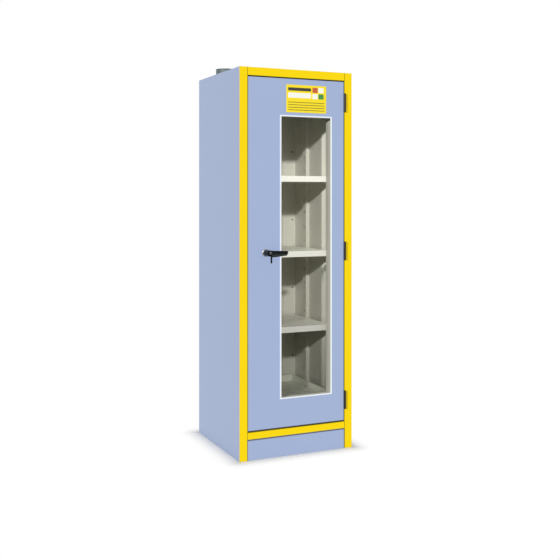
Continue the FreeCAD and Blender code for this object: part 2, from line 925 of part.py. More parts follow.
for axis, spacing, count in (
    ("X_Axis", column_spacing, "insert_columns"),
    ("Y_Axis", row_spacing, "insert_rows"),
):
    step = tray_insert.newObject("PartDesign::LinearPattern", "Step")
    along = [item for item in tray_insert.Origin.OriginFeatures if item.Role == axis][0]
    step.Direction = (along, [""])
    step.setExpression("Length", bound(f"{spacing} * ({count} - 1)"))
    step.setExpression("Occurrences", bound(count))
    steps.append(step)
drain_slots.Transformations = steps
tray_insert.Tip = drain_slots
doc.recompute()

# Door: an outer pan, an insulating core and an inner pan nested in the outer one
outer_hole = rectangle(
    f"{window_left} + trim_width - trim_leg - seat_gap",
    f"{window_right} - trim_width + trim_leg + seat_gap",
    f"{window_bottom} + trim_width - trim_leg - seat_gap",
    f"{window_top} - trim_width + trim_leg + seat_gap",
)
door_outer_skin = prism(
    "door_outer_skin",
    "XZ_Plane",
    front,
    door_back,
    rectangle(f"-{half_door}", half_door, door_bottom, door_top),
)
pocket(
    door_outer_skin,
    "XZ_Plane",
    f"{front} + door_sheet",
    f"{door_back} + overrun",
    rectangle(
        f"-({half_door} - door_sheet)",
        f"{half_door} - door_sheet",
        f"{door_bottom} + door_sheet",
        f"{door_top} - door_sheet",
    ),
)
pocket(
    door_outer_skin,
    "XZ_Plane",
    f"{front} - overrun",
    f"{front} + door_sheet + overrun",
    outer_hole,
    circle(lock_x, "lock_height", "hub_neck_radius"),
)
guide_hole = "(rod_guide_radius + seat_gap)"
pocket(
    door_outer_skin,
    "XY_Plane",
    f"{door_top} - door_sheet - overrun",
    f"{door_top} + overrun",
    circle(f"{lock_x} - {rod_offset}", rod_y, guide_hole),
)
pocket(
    door_outer_skin,
    "XY_Plane",
    f"{door_bottom} - overrun",
    f"{door_bottom} + door_sheet + overrun",
    circle(f"{lock_x} + {rod_offset}", rod_y, guide_hole),
)

skin_edge = f"({half_door} - door_sheet)"
door_inner_skin = prism(
    "door_inner_skin",
    "XZ_Plane",
    f"{door_back} - inner_skin_fold",
    door_back,
    rectangle(f"-{skin_edge}", skin_edge, f"{door_bottom} + door_sheet", f"{door_top} - door_sheet"),
)
pocket(
    door_inner_skin,
    "XZ_Plane",
    f"{door_back} - inner_skin_fold - overrun",
    f"{door_back} - door_sheet",
    rectangle(
        f"-({skin_edge} - door_sheet)",
        f"{skin_edge} - door_sheet",
        f"{door_bottom} + 2 * door_sheet",
        f"{door_top} - 2 * door_sheet",
    ),
)
pocket(
    door_inner_skin,
    "XZ_Plane",
    f"{door_back} - door_sheet - overrun",
    f"{door_back} + overrun",
    outer_hole,
)

half_core = f"({skin_edge} - door_sheet - seat_gap)"
core_bottom = f"({door_bottom} + 2 * door_sheet + seat_gap)"
core_top = f"({door_top} - 2 * door_sheet - seat_gap)"
door_core = prism(
    "door_core",
    "XZ_Plane",
    f"{front} + door_sheet + seat_gap",
    f"{door_back} - door_sheet - seat_gap",
    rectangle(f"-{half_core}", half_core, core_bottom, core_top),
    rectangle(
        f"{window_left} + trim_width - glass_bite - seat_gap",
        f"{window_right} - trim_width + glass_bite + seat_gap",
        f"{window_bottom} + trim_width - glass_bite - seat_gap",
        f"{window_top} - trim_width + glass_bite + seat_gap",
    ),
)
lock_half_width = f"({lock_half_room} + lock_wall)"
pocket(
    door_core,
    "XZ_Plane",
    f"{front} + door_sheet",
    f"{front} + {spindle_end} + seat_gap",
    rectangle(
        f"{lock_x} - {lock_half_width} - seat_gap",
        f"{lock_x} + {lock_half_width} + seat_gap",
        "lock_height - lock_half_height - seat_gap",
        "lock_height + lock_half_height + seat_gap",
    ),
)
pocket(
    door_core,
    "XY_Plane",
    "lock_height",
    f"{core_top} + overrun",
    circle(f"{lock_x} - {rod_offset}", rod_y, guide_hole),
)
pocket(
    door_core,
    "XY_Plane",
    f"{core_bottom} - overrun",
    "lock_height",
    circle(f"{lock_x} + {rod_offset}", rod_y, guide_hole),
)

prism(
    "door_seal",
    "XZ_Plane",
    f"{door_back} + seat_gap",
    f"{stop_face} - seat_gap",
    *ring_of(
        f"-({half_door} - seal_inset)",
        f"{half_door} - seal_inset",
        f"{door_bottom} + seal_inset",
        f"{door_top} - seal_inset",
        "seal_width",
    ),
)


# Window: glass held between two gaskets by a trim outside and a bead inside
def window_ring(margin, width):
    """A frame round the window; the margin is measured outwards from the clear opening."""
    return ring_of(
        f"{window_left} + trim_width - {margin}",
        f"{window_right} - trim_width + {margin}",
        f"{window_bottom} + trim_width - {margin}",
        f"{window_top} - trim_width + {margin}",
        width,
    )


prism(
    "glass_pane",
    "XZ_Plane",
    glass_front,
    glass_back,
    window_ring("glass_bite", "0")[0],
)
gasket_width = "(glass_bite - trim_leg - seat_gap)"
prism(
    "front_glazing_gasket",
    "XZ_Plane",
    f"{front} + door_sheet",
    f"{glass_front} - seat_gap",
    *window_ring("glass_bite", gasket_width),
)
prism(
    "rear_glazing_gasket",
    "XZ_Plane",
    f"{glass_back} + seat_gap",
    f"{glass_back} + seat_gap + gasket_thickness",
    *window_ring("glass_bite", "glass_bite"),
)
outer_glazing_trim = prism(
    "outer_glazing_trim",
    "XZ_Plane",
    f"{front} - trim_face",
    front,
    *window_ring("trim_width", "trim_width"),
)
pad(
    outer_glazing_trim,
    "XZ_Plane",
    f"{front} - trim_face",
    f"{glass_front} - seat_gap",
    *window_ring("trim_leg", "trim_leg"),
)
inner_glazing_bead = prism(
    "inner_glazing_bead",
    "XZ_Plane",
    door_back,
    f"{door_back} + bead_face",
    *window_ring("bead_width", "bead_width"),
)
pad(
    inner_glazing_bead,
    "XZ_Plane",
    f"{glass_back} + 2 * seat_gap + gasket_thickness",
    f"{door_back} + bead_face",
    *window_ring("trim_leg", "trim_leg"),
)

# Hinges: lift-off halves with a barrel in front of the gap and leaves folded into it.
# The pin is fixed in the frame's half and the door's half turns on it.
knuckle_wall = "((hinge_pin_radius + knuckle_radius) / 2)"


def hinge_half(label, height, leaf_x0, leaf_x1, low, high):
    """One leaf for the full length and one knuckle for half of it."""
    bottom = f"({height} - hinge_length / 2)"
    leaf_end = f"{front} + hinge_leaf_depth"
    body = prism(
        label,
        "XY_Plane",
        bottom,
        f"{bottom} + hinge_length",
        rectangle(leaf_x0, leaf_x1, front, leaf_end),
        export=False,
    )
    neck = rectangle(leaf_x0, leaf_x1, f"{hinge_y} + {knuckle_wall}", leaf_end)
    knuckle = circle(hinge_x, hinge_y, "knuckle_radius")
    for outline in (neck, knuckle):
        pad(body, "XY_Plane", f"{bottom} + {low}", f"{bottom} + {high}", outline)
    return body


frame_halves = []
door_halves = []
lower_end = "(hinge_length / 2 - knuckle_gap / 2)"
upper_start = "(hinge_length / 2 + knuckle_gap / 2)"
for height in (f"({opening_bottom} + hinge_inset)", "lock_height", f"({opening_top} - hinge_inset)"):
    frame_half = hinge_half(
        "frame_hinge", height, f"{half_opening} - hinge_leaf", half_opening, "0", lower_end
    )
    pin = circle(hinge_x, hinge_y, "hinge_pin_radius")
    pad(frame_half, "XY_Plane", f"{height} - knuckle_gap / 2", f"{height} + hinge_length / 2", pin)
    frame_halves.append(frame_half)
    door_half = hinge_half(
        "door_hinge", height, half_door, f"{half_door} + hinge_leaf", upper_start, "hinge_length"
    )
    bore = circle(hinge_x, hinge_y, "hinge_pin_radius + running_gap")
    pocket(door_half, "XY_Plane", height, f"{height} + hinge_length / 2 + overrun", bore)
    door_halves.append(door_half)
group("frame_hinges", frame_halves)
group("door_hinges", door_halves)

# Lock case in the door, with a bearing for the spindle and holes for the two rods
lock_case = prism(
    "lock_case",
    "XZ_Plane",
    lock_front,
    lock_back,
    rectangle(
        f"{lock_x} - {lock_half_width}",
        f"{lock_x} + {lock_half_width}",
        "lock_height - lock_half_height",
        "lock_height + lock_half_height",
    ),
)
pocket(
    lock_case,
    "XZ_Plane",
    f"{lock_front} + lock_wall",
    f"{lock_back} + overrun",
    rectangle(
        f"{lock_x} - {lock_half_room}",
        f"{lock_x} + {lock_half_room}",
        "lock_height - lock_half_height + lock_wall",
        "lock_height + lock_half_height - lock_wall",
    ),
)
bearing = circle(lock_x, "lock_height", "spindle_radius + running_gap")
pocket(lock_case, "XZ_Plane", f"{lock_front} - overrun", f"{lock_front} + lock_wall + overrun", bearing)
pocket(
    lock_case,
    "XY_Plane",
    "lock_height + lock_half_height - lock_wall - overrun",
    "lock_height + lock_half_height + overrun",
    circle(f"{lock_x} - {rod_offset}", rod_y, "rod_radius + seat_gap"),
)
pocket(
    lock_case,
    "XY_Plane",
    "lock_height - lock_half_height - overrun",
    "lock_height - lock_half_height + lock_wall + overrun",
    circle(f"{lock_x} + {rod_offset}", rod_y, "rod_radius + seat_gap"),
)
prism(
    "lock_cover",
    "XZ_Plane",
    lock_back,
    f"{lock_back} + lock_cover",
    rectangle(
        f"{lock_x} - {lock_half_width}",
        f"{lock_x} + {lock_half_width}",
        "lock_height - lock_half_height",
        "lock_height + lock_half_height",
    ),
    bearing,
)


# Rods: a rack that the pinion drives, and a round bar to the door's edge
def lock_rod(label, length, rotation):
    """Drawn about the pinion's axis with its bar going up; the lower rod is the same turned over."""
    tips = f"(-{pitch_radius} + tooth_addendum)"
    body = prism(
        label,
        "XY_Plane",
        "-rack_behind",
        "rack_ahead",
        rectangle(f"{tips} - rack_bar", tips, "-gear_face / 2", "gear_face / 2"),
    )
    pad(body, "XY_Plane", "rack_ahead", length, circle(f"-{rod_offset}", "0", "rod_radius"))
    lean = "tan(pressure_angle)"
    root = f"(-{pitch_radius} - tooth_addendum - tooth_clearance)"
    mouth = f"(-{pitch_radius} + tooth_addendum + overrun)"
    half_space = f"({tooth_pitch} / 4 + tooth_backlash / 2)"
    at_root = f"({half_space} - (tooth_addendum + tooth_clearance) * {lean})"
    at_mouth = f"({half_space} + (tooth_addendum + overrun) * {lean})"
    lowest = f"({tooth_pitch} * (rack_spaces_ahead + 1 - rack_spaces))"
    space = pocket(
        body,
        "XZ_Plane",
        "-gear_face / 2 - overrun",
        "gear_face / 2 + overrun",
        [
            (root, f"{lowest} - {at_root}"),
            (mouth, f"{lowest} - {at_mouth}"),
            (mouth, f"{lowest} + {at_mouth}"),
            (root, f"{lowest} + {at_root}"),
        ],
    )
    repeat(body, space, "Z_Axis", f"{tooth_pitch} * (rack_spaces - 1)", "rack_spaces")
    stand(body, lock_x, rod_y, "lock_height", rotation)


lock_rod("upper_rod", f"{door_top} - rod_setback - lock_height", Rotation())
lock_rod("lower_rod", f"lock_height - {door_bottom} - rod_setback", Rotation(Vector(0, 1, 0), 180))

guide_outline = [
    ("rod_radius + running_gap", "0"),
    ("rod_guide_radius", "0"),
    ("rod_guide_radius", "rod_guide_length"),
    ("rod_radius + running_gap", "rod_guide_length"),
]
upper_guide = turned("guide", guide_outline, export=False)
stand(upper_guide, f"{lock_x} - {rod_offset}", rod_y, f"{door_top} - rod_guide_length")
lower_guide = turned("guide", guide_outline, export=False)
stand(lower_guide, f"{lock_x} + {rod_offset}", rod_y, door_bottom)
group("rod_guides", [upper_guide, lower_guide])


# Pinion: involute teeth cut short so that they clear the racks' roots
def pinion_shape():
    """Each tooth is root, base, pitch and tip points on both flanks; the involute gives their angles."""
    teeth = int(size("pinion_teeth"))
    module = size("gear_module")
    pressure = math.radians(size("pressure_angle"))
    pitch = module * teeth / 2
    base = pitch * math.cos(pressure)
    tip = pitch + size("tooth_addendum")
    root = pitch - size("tooth_addendum") - size("tooth_clearance")
    involute_at_pitch = math.tan(pressure) - pressure
    half_at_pitch = math.pi / (2 * teeth) - size("tooth_backlash") / (2 * pitch)

    def half_angle(radius):
        if radius <= base:
            return half_at_pitch + involute_at_pitch
        roll = math.acos(base / radius)
        return half_at_pitch + involute_at_pitch - (math.tan(roll) - roll)

    flank = [root, max(base, root), pitch, tip]
    corners = []
    for tooth in range(teeth):
        middle = 2 * math.pi * tooth / teeth
        for radius in flank:
            angle = middle - half_angle(radius)
            corners.append(Vector(radius * math.cos(angle), radius * math.sin(angle), 0))
        for radius in reversed(flank):
            angle = middle + half_angle(radius)
            corners.append(Vector(radius * math.cos(angle), radius * math.sin(angle), 0))
    blank = Part.Face(Part.makePolygon(corners + corners[:1]))
    gear = blank.extrude(Vector(0, 0, size("gear_face")))
    return gear.cut(Part.makeCylinder(size("spindle_radius"), size("gear_face")))


drive_pinion = doc.addObject("Part::Feature", "drive_pinion")
drive_pinion.Label = "drive_pinion"
drive_pinion.Shape = pinion_shape()
stand(drive_pinion, lock_x, f"{rod_y} + gear_face / 2", "lock_height", toward_front)
exported.append(drive_pinion)

# Lever: rosette on the door, spindle through it, hub and tapered arm in front
# These pieces are drawn with Z towards the front, measured from the door's face
rosette = turned(
    "rosette",
    [
        ("hub_neck_radius + running_gap", "0"),
        ("rosette_radius", "0"),
        ("rosette_radius", "rosette_thickness"),
        ("hub_neck_radius + running_gap", "rosette_thickness"),
    ],
)
stand(rosette, lock_x, front, "lock_height", toward_front)

spindle = turned(
    "spindle",
    [
        ("0", f"-{spindle_end}"),
        ("spindle_radius", f"-{spindle_end}"),
        ("spindle_radius", "spindle_seat"),
        ("0", "spindle_seat"),
    ],
)
stand(spindle, lock_x, front, "lock_height", toward_front)

lever_handle = turned(
    "lever_handle",
    [
        ("0", "seat_gap"),
        ("hub_neck_radius", "seat_gap"),
        ("hub_neck_radius", "rosette_thickness + seat_gap"),
        ("hub_radius", "rosette_thickness + seat_gap"),
        ("hub_radius", "lever_reach"),
        ("0", "lever_reach"),
    ],
)


def arm_section(offset, rise, drop):
    """The arm's section: flat in front, with one long bevel that faces down and forwards."""
    arm_back = "(lever_reach - lever_thickness)"
    return new_sketch(
        lever_handle,
        "YZ_Plane",
        offset,
        [
            [
                (f"-{drop}", arm_back),
                (f"-{drop}", f"{arm_back} + lever_back_edge"),
                (f"-{drop} + lever_bevel", "lever_reach"),
                (rise, "lever_reach"),
                (rise, arm_back),
            ]
        ],
    )


arm = lever_handle.newObject("PartDesign::AdditiveLoft", "Arm")
arm.Profile = arm_section("lever_root_inset", "lever_root_rise", "lever_root_drop")
arm.Sections = [arm_section("lever_length", "lever_tip_rise", "lever_tip_drop")]
arm.Ruled = True
doc.recompute()
pocket(
    lever_handle,
    "XY_Plane",
    "lever_reach - cylinder_depth",
    "lever_reach + overrun",
    circle("0", "0", "cylinder_radius"),
)
pocket(lever_handle, "XY_Plane", "0", "spindle_seat", circle("0", "0", "spindle_radius"))
stand(lever_handle, lock_x, front, "lock_height", toward_front)

cylinder_back = "(lever_reach - cylinder_depth)"
cylinder_front = "(lever_reach + cylinder_proud)"
plug_back = f"({cylinder_front} - plug_length)"
lock_cylinder = turned(
    "lock_cylinder",
    [
        ("0", cylinder_back),
        ("cylinder_radius", cylinder_back),
        ("cylinder_radius", cylinder_front),
        ("plug_radius + running_gap", cylinder_front),
        ("plug_radius + running_gap", f"{plug_back} - seat_gap"),
        ("0", f"{plug_back} - seat_gap"),
    ],
)
stand(lock_cylinder, lock_x, front, "lock_height", toward_front)

# Plug with its keyway, the key's blade in it and the folding bow in front
lock_plug = turned(
    "lock_plug",
    [
        ("0", plug_back),
        ("plug_radius", plug_back),
        ("plug_radius", cylinder_front),
        ("0", cylinder_front),
    ],
)
keyway_half = "(key_thickness / 2 + key_fit)"
pocket(
    lock_plug,
    "XY_Plane",
    f"{cylinder_front} - key_inside - seat_gap",
    f"{cylinder_front} + overrun",
    rectangle(f"-{keyway_half}", keyway_half, "-keyway_height / 2 - key_fit", "keyway_height / 2 + key_fit"),
)
stand(lock_plug, lock_x, front, "lock_height", toward_front)

# The blade lies in the plane of the bow, so it is drawn on YZ: first up, then towards the front
blade_end = f"({cylinder_front} - key_inside)"
key_blade = prism(
    "key_blade",
    "YZ_Plane",
    "-key_thickness / 2",
    "key_thickness / 2",
    [
        ("-keyway_height / 2", blade_end),
        ("0", blade_end),
        ("keyway_height / 2", f"{blade_end} + keyway_height / 2"),
        ("keyway_height / 2", f"{cylinder_front} + bow_stand_off / 2"),
        ("key_eye_radius / 2", f"{cylinder_front} + bow_stand_off"),
        ("key_eye_radius / 2", key_pivot),
        ("-key_eye_radius / 2", key_pivot),
        ("-key_eye_radius / 2", f"{cylinder_front} + bow_stand_off"),
        ("-keyway_height / 2", f"{cylinder_front} + bow_stand_off / 2"),
    ],
)
pad(
    key_blade,
    "YZ_Plane",
    "-key_thickness / 2",
    "key_thickness / 2",
    circle("0", key_pivot, "key_eye_radius"),
)
pocket(
    key_blade,
    "YZ_Plane",
    "-key_thickness / 2 - overrun",
    "key_thickness / 2 + overrun",
    circle("0", key_pivot, "key_pin_radius + running_gap"),
)
notch = pocket(
    key_blade,
    "YZ_Plane",
    "-key_thickness / 2 - overrun",
    "key_thickness / 2 + overrun",
    [
        ("keyway_height / 2 - key_cut", f"{blade_end} + keyway_height / 2 + key_cut"),
        ("keyway_height / 2 + overrun", f"{blade_end} + keyway_height / 2 - overrun"),
        ("keyway_height / 2 + overrun", f"{blade_end} + keyway_height / 2 + 2 * key_cut + overrun"),
    ],
)
repeat(key_blade, notch, "Z_Axis", "key_cut_distance * (key_cut_count - 1)", "key_cut_count")
stand(key_blade, lock_x, front, "lock_height", toward_front)

# Bow: two cheeks on a pin through the blade's eye, joined below; drawn on YZ like the blade
key_bow = prism(
    "key_bow",
    "YZ_Plane",
    "-bow_thickness / 2",
    "bow_thickness / 2",
    rectangle("-bow_length", "0", f"{key_pivot} - bow_half_width", f"{key_pivot} + bow_half_width"),
    circle("-bow_length + bow_half_width", key_pivot, "bow_hole_radius"),
)
pad(
    key_bow,
    "YZ_Plane",
    "-bow_thickness / 2",
    "bow_thickness / 2",
    circle("0", key_pivot, "bow_half_width"),
)
pocket(
    key_bow,
    "YZ_Plane",
    f"-{keyway_half}",
    keyway_half,
    rectangle(
        "-key_eye_radius - seat_gap",
        "bow_half_width + overrun",
        f"{key_pivot} - bow_half_width - overrun",
        f"{key_pivot} + bow_half_width + overrun",
    ),
)
pad(
    key_bow,
    "YZ_Plane",
    "-bow_thickness / 2",
    "bow_thickness / 2",
    circle("0", key_pivot, "key_pin_radius"),
)
stand(key_bow, lock_x, front, "lock_height", toward_front)

# Check everything, then write one file for each piece
doc.recompute()
for item in doc.Objects:
    if "Invalid" in item.State or "Error" in item.State:
        raise RuntimeError(f"{item.Label} ({item.Name}) failed: {item.State}")
for piece in exported:
    if piece.Shape.isNull() or not piece.Shape.isValid():
        raise RuntimeError(f"{piece.Label} has no valid shape")

os.makedirs("parts", exist_ok=True)
for piece in exported:
    piece.Shape.exportStep(f"parts/{piece.Label}.step")
    box = piece.Shape.BoundBox
    print(
        f"{piece.Label}: {len(piece.Shape.Solids)} solid, {piece.Shape.Volume / 1000:.1f} cm3,",
        f"x {box.XMin:.1f} {box.XMax:.1f}, y {box.YMin:.1f} {box.YMax:.1f}, z {box.ZMin:.1f} {box.ZMax:.1f}",
    )
print(f"{len(exported)} pieces")
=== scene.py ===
# %% [markdown]
# # Dressing a fire-resistant storage cabinet
#
# The solids of the cabinet come from CAD and are already in their places. This lesson gives them
# paint, glass and metal, adds the small parts that were left out of the solids, and sets up a
# studio with a camera. Everything is in metres: X to the right, Y to the back, Z up.

# %% Load the solids
import json
import math

import bmesh
import bpy
import numpy as np
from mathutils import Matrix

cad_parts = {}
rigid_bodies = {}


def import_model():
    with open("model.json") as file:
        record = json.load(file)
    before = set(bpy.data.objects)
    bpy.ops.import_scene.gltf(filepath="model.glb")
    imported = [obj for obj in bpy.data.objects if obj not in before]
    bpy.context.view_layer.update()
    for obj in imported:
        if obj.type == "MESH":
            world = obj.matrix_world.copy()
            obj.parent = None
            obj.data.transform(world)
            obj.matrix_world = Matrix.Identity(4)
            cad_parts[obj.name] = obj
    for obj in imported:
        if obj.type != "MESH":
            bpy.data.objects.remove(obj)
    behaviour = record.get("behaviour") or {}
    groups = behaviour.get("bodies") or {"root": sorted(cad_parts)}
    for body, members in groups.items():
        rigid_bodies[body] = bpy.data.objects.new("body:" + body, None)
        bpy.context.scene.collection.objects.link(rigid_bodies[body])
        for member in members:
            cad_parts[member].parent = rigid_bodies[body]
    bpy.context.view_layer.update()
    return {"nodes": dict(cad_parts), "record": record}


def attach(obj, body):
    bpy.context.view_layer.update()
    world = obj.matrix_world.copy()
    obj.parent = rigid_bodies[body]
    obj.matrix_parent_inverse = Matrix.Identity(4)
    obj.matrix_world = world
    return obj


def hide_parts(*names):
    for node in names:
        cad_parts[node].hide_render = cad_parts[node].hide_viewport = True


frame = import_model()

nodes = frame["nodes"]

# %% [markdown]
# ## The camera
#
# The photograph was matched by fitting a camera to the corners of the casing. It stands level, to
# the left of the door, a little above the middle of the door. Because it stands level, the
# uprights stay parallel, and the picture's middle is moved down with a lens shift instead of a tilt.

# %% Camera
PICTURE_SIZE = 560
FOCAL_PIXELS = 883.1
HORIZON_ROW = 196.2
SENSOR = 36.0
CAMERA_PLACE = (-1.940, -4.300, 1.309)
CAMERA_YAW = math.radians(24.54)

camera_data = bpy.data.cameras.new("camera")
camera_data.sensor_width = SENSOR
camera_data.lens = SENSOR * FOCAL_PIXELS / PICTURE_SIZE
camera_data.shift_y = (HORIZON_ROW - PICTURE_SIZE / 2) / PICTURE_SIZE
camera = bpy.data.objects.new("camera", camera_data)
camera.location = CAMERA_PLACE
camera.rotation_euler = (math.pi / 2, 0, -CAMERA_YAW)
bpy.context.scene.collection.objects.link(camera)
bpy.context.scene.camera = camera
print(f"lens {camera_data.lens:.2f} mm, shift {camera_data.shift_y:.4f}")

# %% [markdown]
# ## Light
#
# Inside the cabinet the shelves throw clean slanting shadows on the right wall. They fall between
# 0.40 and 0.47 mm for each millimetre of depth, more in the lower rooms, so the light is small,
# about 11 m away and 5 m up. The right wall is nearly as bright as what faces the front, so a
# second such light stands further to the left and lower, and throws a shelf's shadow along the
# same line. The outside is evenly lit but the inside grows dark towards the bottom. Such a picture
# is lit in parts: two suns light the outside, and two spots in the same directions, whose beams
# fade downwards, light the inside. A weak white world fills the rest. Together they light the
# front and the left side at about one, so a colour renders about as it is written.

# %% Lamps
SHADOW_FALL = 0.43
MAIN_AZIMUTH = math.radians(25)
LEFT_AZIMUTH = math.radians(56)
MAIN_SHARE = 0.60
LEFT_SHARE = 0.60
WALL_SHARE = 1.42
SHELF_SHARE = 1.20
WORLD_SHARE = 0.15
SUN_PLACE = (-2, -5, 4)
SUN_ANGLE = math.radians(2.5)
SPOT_DISTANCE = 11.5
SPOT_AIM = np.array((0.0, 0.0, 2.36))
SPOT_CONE = math.radians(24)
SPOT_RADIUS = 0.25
CABINET_MIDDLE = np.array((0.1, 0.0, 1.0))


def add_lamp(name, kind, place, toward, energy, **settings):
    """A lamp at a place, looking along a direction."""
    lamp = bpy.data.lights.new(name, kind)
    lamp.energy = energy
    for setting, value in settings.items():
        setattr(lamp, setting, value)
    holder = bpy.data.objects.new(name, lamp)
    holder.location = place
    x, y, z = toward
    holder.rotation_euler = (math.atan2(math.hypot(x, y), -z), 0, math.atan2(-x, y))
    bpy.context.scene.collection.objects.link(holder)
    return holder


def falling(azimuth):
    """A direction whose shadow of a level edge falls by one slope on a wall that runs to the back."""
    toward = np.array([math.sin(azimuth), math.cos(azimuth), -SHADOW_FALL * math.cos(azimuth)])
    return (toward / np.linalg.norm(toward)).tolist()


DIRECTIONS = (("main", MAIN_AZIMUTH, MAIN_SHARE), ("left", LEFT_AZIMUTH, LEFT_SHARE))
suns = [
    add_lamp(f"{name}_sun", "SUN", SUN_PLACE, falling(azimuth), share * math.pi, angle=SUN_ANGLE)
    for name, azimuth, share in DIRECTIONS
]

# A spot of power P lights a white surface facing it at distance d by P / (4 * pi * pi * d * d)
wall_spots = []
shelf_spots = []
for name, azimuth, share in DIRECTIONS:
    place = CABINET_MIDDLE - np.array(falling(azimuth)) * SPOT_DISTANCE
    toward = SPOT_AIM - place
    for use, part, spots in (("wall", WALL_SHARE, wall_spots), ("shelf", SHELF_SHARE, shelf_spots)):
        power = share * part * 4 * math.pi**2 * SPOT_DISTANCE**2
        spots.append(
            add_lamp(
                f"{name}_{use}_spot", "SPOT", place.tolist(), toward.tolist(), power,
                spot_size=SPOT_CONE, spot_blend=1.0, shadow_soft_size=SPOT_RADIUS,
            )
        )
heights = [round(spot.location.z, 2) for spot in wall_spots]
print("main direction", np.round(falling(MAIN_AZIMUTH), 3).tolist(), "spot heights", heights)

# %% [markdown]
# ## Shader sums
#
# A material is a graph of nodes. Written out one node at a time it hides the idea behind it, so
# this small class wraps one output socket: `a * 2 + b` then adds the Math nodes by itself. Its
# `node` method adds any other node from its type, its settings and its inputs.


# %% The socket class
class Wire:
    """One output socket of a material's graph."""

    def __init__(self, tree, socket):
        self.tree = tree
        self.socket = socket

    def node(self, kind, inputs=None, output=0, **settings):
        """Add a node: settings first, then the values or links of its sockets."""
        made = self.tree.nodes.new(kind)
        for name, value in settings.items():
            setattr(made, name, value)
        for name, value in (inputs or {}).items():
            if isinstance(value, Wire):
                self.tree.links.new(value.socket, made.inputs[name])
            else:
                made.inputs[name].default_value = value
        return Wire(self.tree, made.outputs[output])

    def math(self, operation, *others):
        """One step of arithmetic with this value first."""
        return self.node("ShaderNodeMath", dict(enumerate((self,) + others)), operation=operation)

    def __add__(self, other):
        return self.math("ADD", other)

    def __sub__(self, other):
        return self.math("SUBTRACT", other)

    def __rsub__(self, other):
        return (self * -1.0) + other

    def __mul__(self, other):
        return self.math("MULTIPLY", other)

    def __truediv__(self, other):
        return self.math("DIVIDE", other)

    __radd__ = __add__
    __rmul__ = __mul__

    def between(self, low, high):
        """A smooth step: 0 below low, 1 above high."""
        inputs = {0: self, 1: low, 2: high, 3: 0.0, 4: 1.0}
        return self.node("ShaderNodeMapRange", inputs, interpolation_type="SMOOTHSTEP")

    def axis(self, letter):
        """One coordinate of a place."""
        return self.node("ShaderNodeSeparateXYZ", {0: self}, output="XYZ".index(letter))

    def stretched(self, x, y, z):
        """The same place with each coordinate scaled, so that a pattern runs along one of them."""
        return self.node("ShaderNodeVectorMath", {0: self, 1: (x, y, z)}, operation="MULTIPLY")

    def noise(self, scale, detail=2.0, roughness=0.5):
        """Soft cloudy values round 0.5."""
        inputs = {"Vector": self, "Scale": scale, "Detail": detail, "Roughness": roughness}
        return self.node("ShaderNodeTexNoise", inputs)

    def blend(self, first, second):
        """A colour between two, this value saying how far."""
        made = self.tree.nodes.new("ShaderNodeMix")
        made.data_type = "RGBA"
        self.tree.links.new(self.socket, made.inputs[0])
        for index, colour in ((6, first), (7, second)):
            if isinstance(colour, Wire):
                self.tree.links.new(colour.socket, made.inputs[index])
            else:
                made.inputs[index].default_value = colour
        return Wire(self.tree, made.outputs[2])

    def bump(self, strength, distance):
        """A normal from this value read as a height."""
        inputs = {"Height": self, "Strength": strength, "Distance": distance}
        return self.node("ShaderNodeBump", inputs)


def linear(red, green, blue):
    """A colour picked on screen, 0 to 255, as the light values that shaders use."""
    share = np.array([red, green, blue]) / 255
    light = np.where(share <= 0.04045, share / 12.92, ((share + 0.055) / 1.055) ** 2.4)
    return tuple(light.tolist()) + (1.0,)


def tint(colour, factor):
    """A colour made lighter or darker."""
    return tuple(min(1.0, part * factor) for part in colour[:3]) + (1.0,)


def start_material(name):
    """An empty material with one Principled shader, and the object's own coordinates."""
    material = bpy.data.materials.new(name)
    material.use_nodes = True
    tree = material.node_tree
    tree.nodes.clear()
    output = tree.nodes.new("ShaderNodeOutputMaterial")
    shader = tree.nodes.new("ShaderNodeBsdfPrincipled")
    tree.links.new(shader.outputs[0], output.inputs[0])
    coordinates = tree.nodes.new("ShaderNodeTexCoord")
    return material, shader, Wire(tree, coordinates.outputs["Object"])


def feed(shader, **inputs):
    """Set or link the shader's sockets; underscores stand for the spaces in their names."""
    for name, value in inputs.items():
        socket = shader.inputs[name.replace("_", " ")]
        if isinstance(value, Wire):
            value.tree.links.new(value.socket, socket)
        else:
            socket.default_value = value


print("socket class ready")

# %% [markdown]
# ## Powder coat
#
# All the sheet metal is powder coated. Seen close, such paint isn't smooth: the melted powder
# leaves a fine orange peel about a millimetre across, and its gloss changes a little from place to
# place. Two noises make it: a fine one for the bump, and a wide one for the slow changes.


# %% Powder coat
# How dark the joints and the painted shade bands are: the paint's colour times this.
JOINT_AND_SHADE_TINT = 0.16
PEEL_DEPTH = 0.0004


def powder_coat(name, colour, roughness=0.42, peel=0.10, mottle=0.03, marks=None, gloss=0.5):
    """Paint with orange peel. `marks` is a function that darkens places, from 0 to 1: dark joints, and painted
    shade along the gaps.
    """
    material, shader, place = start_material(name)
    cloud = place.noise(5.0, 3.0)
    grain = place.noise(900.0, 2.0)
    speck = place.noise(160.0, 1.0)
    body = (cloud * 0.6 + speck * 0.4).blend(tint(colour, 1 - mottle), tint(colour, 1 + mottle))
    if marks:
        # Painted shade: besides the dark joints, the marks darken the paint where the gaps would hold shadow.
        body = marks(place).blend(body, tint(colour, JOINT_AND_SHADE_TINT))
    feed(shader, Base_Color=body, Roughness=cloud * 0.10 + speck * 0.05 + (roughness - 0.075))
    feed(shader, Normal=(grain + speck * 0.5).bump(peel, PEEL_DEPTH), Specular_IOR_Level=gloss)
    return material


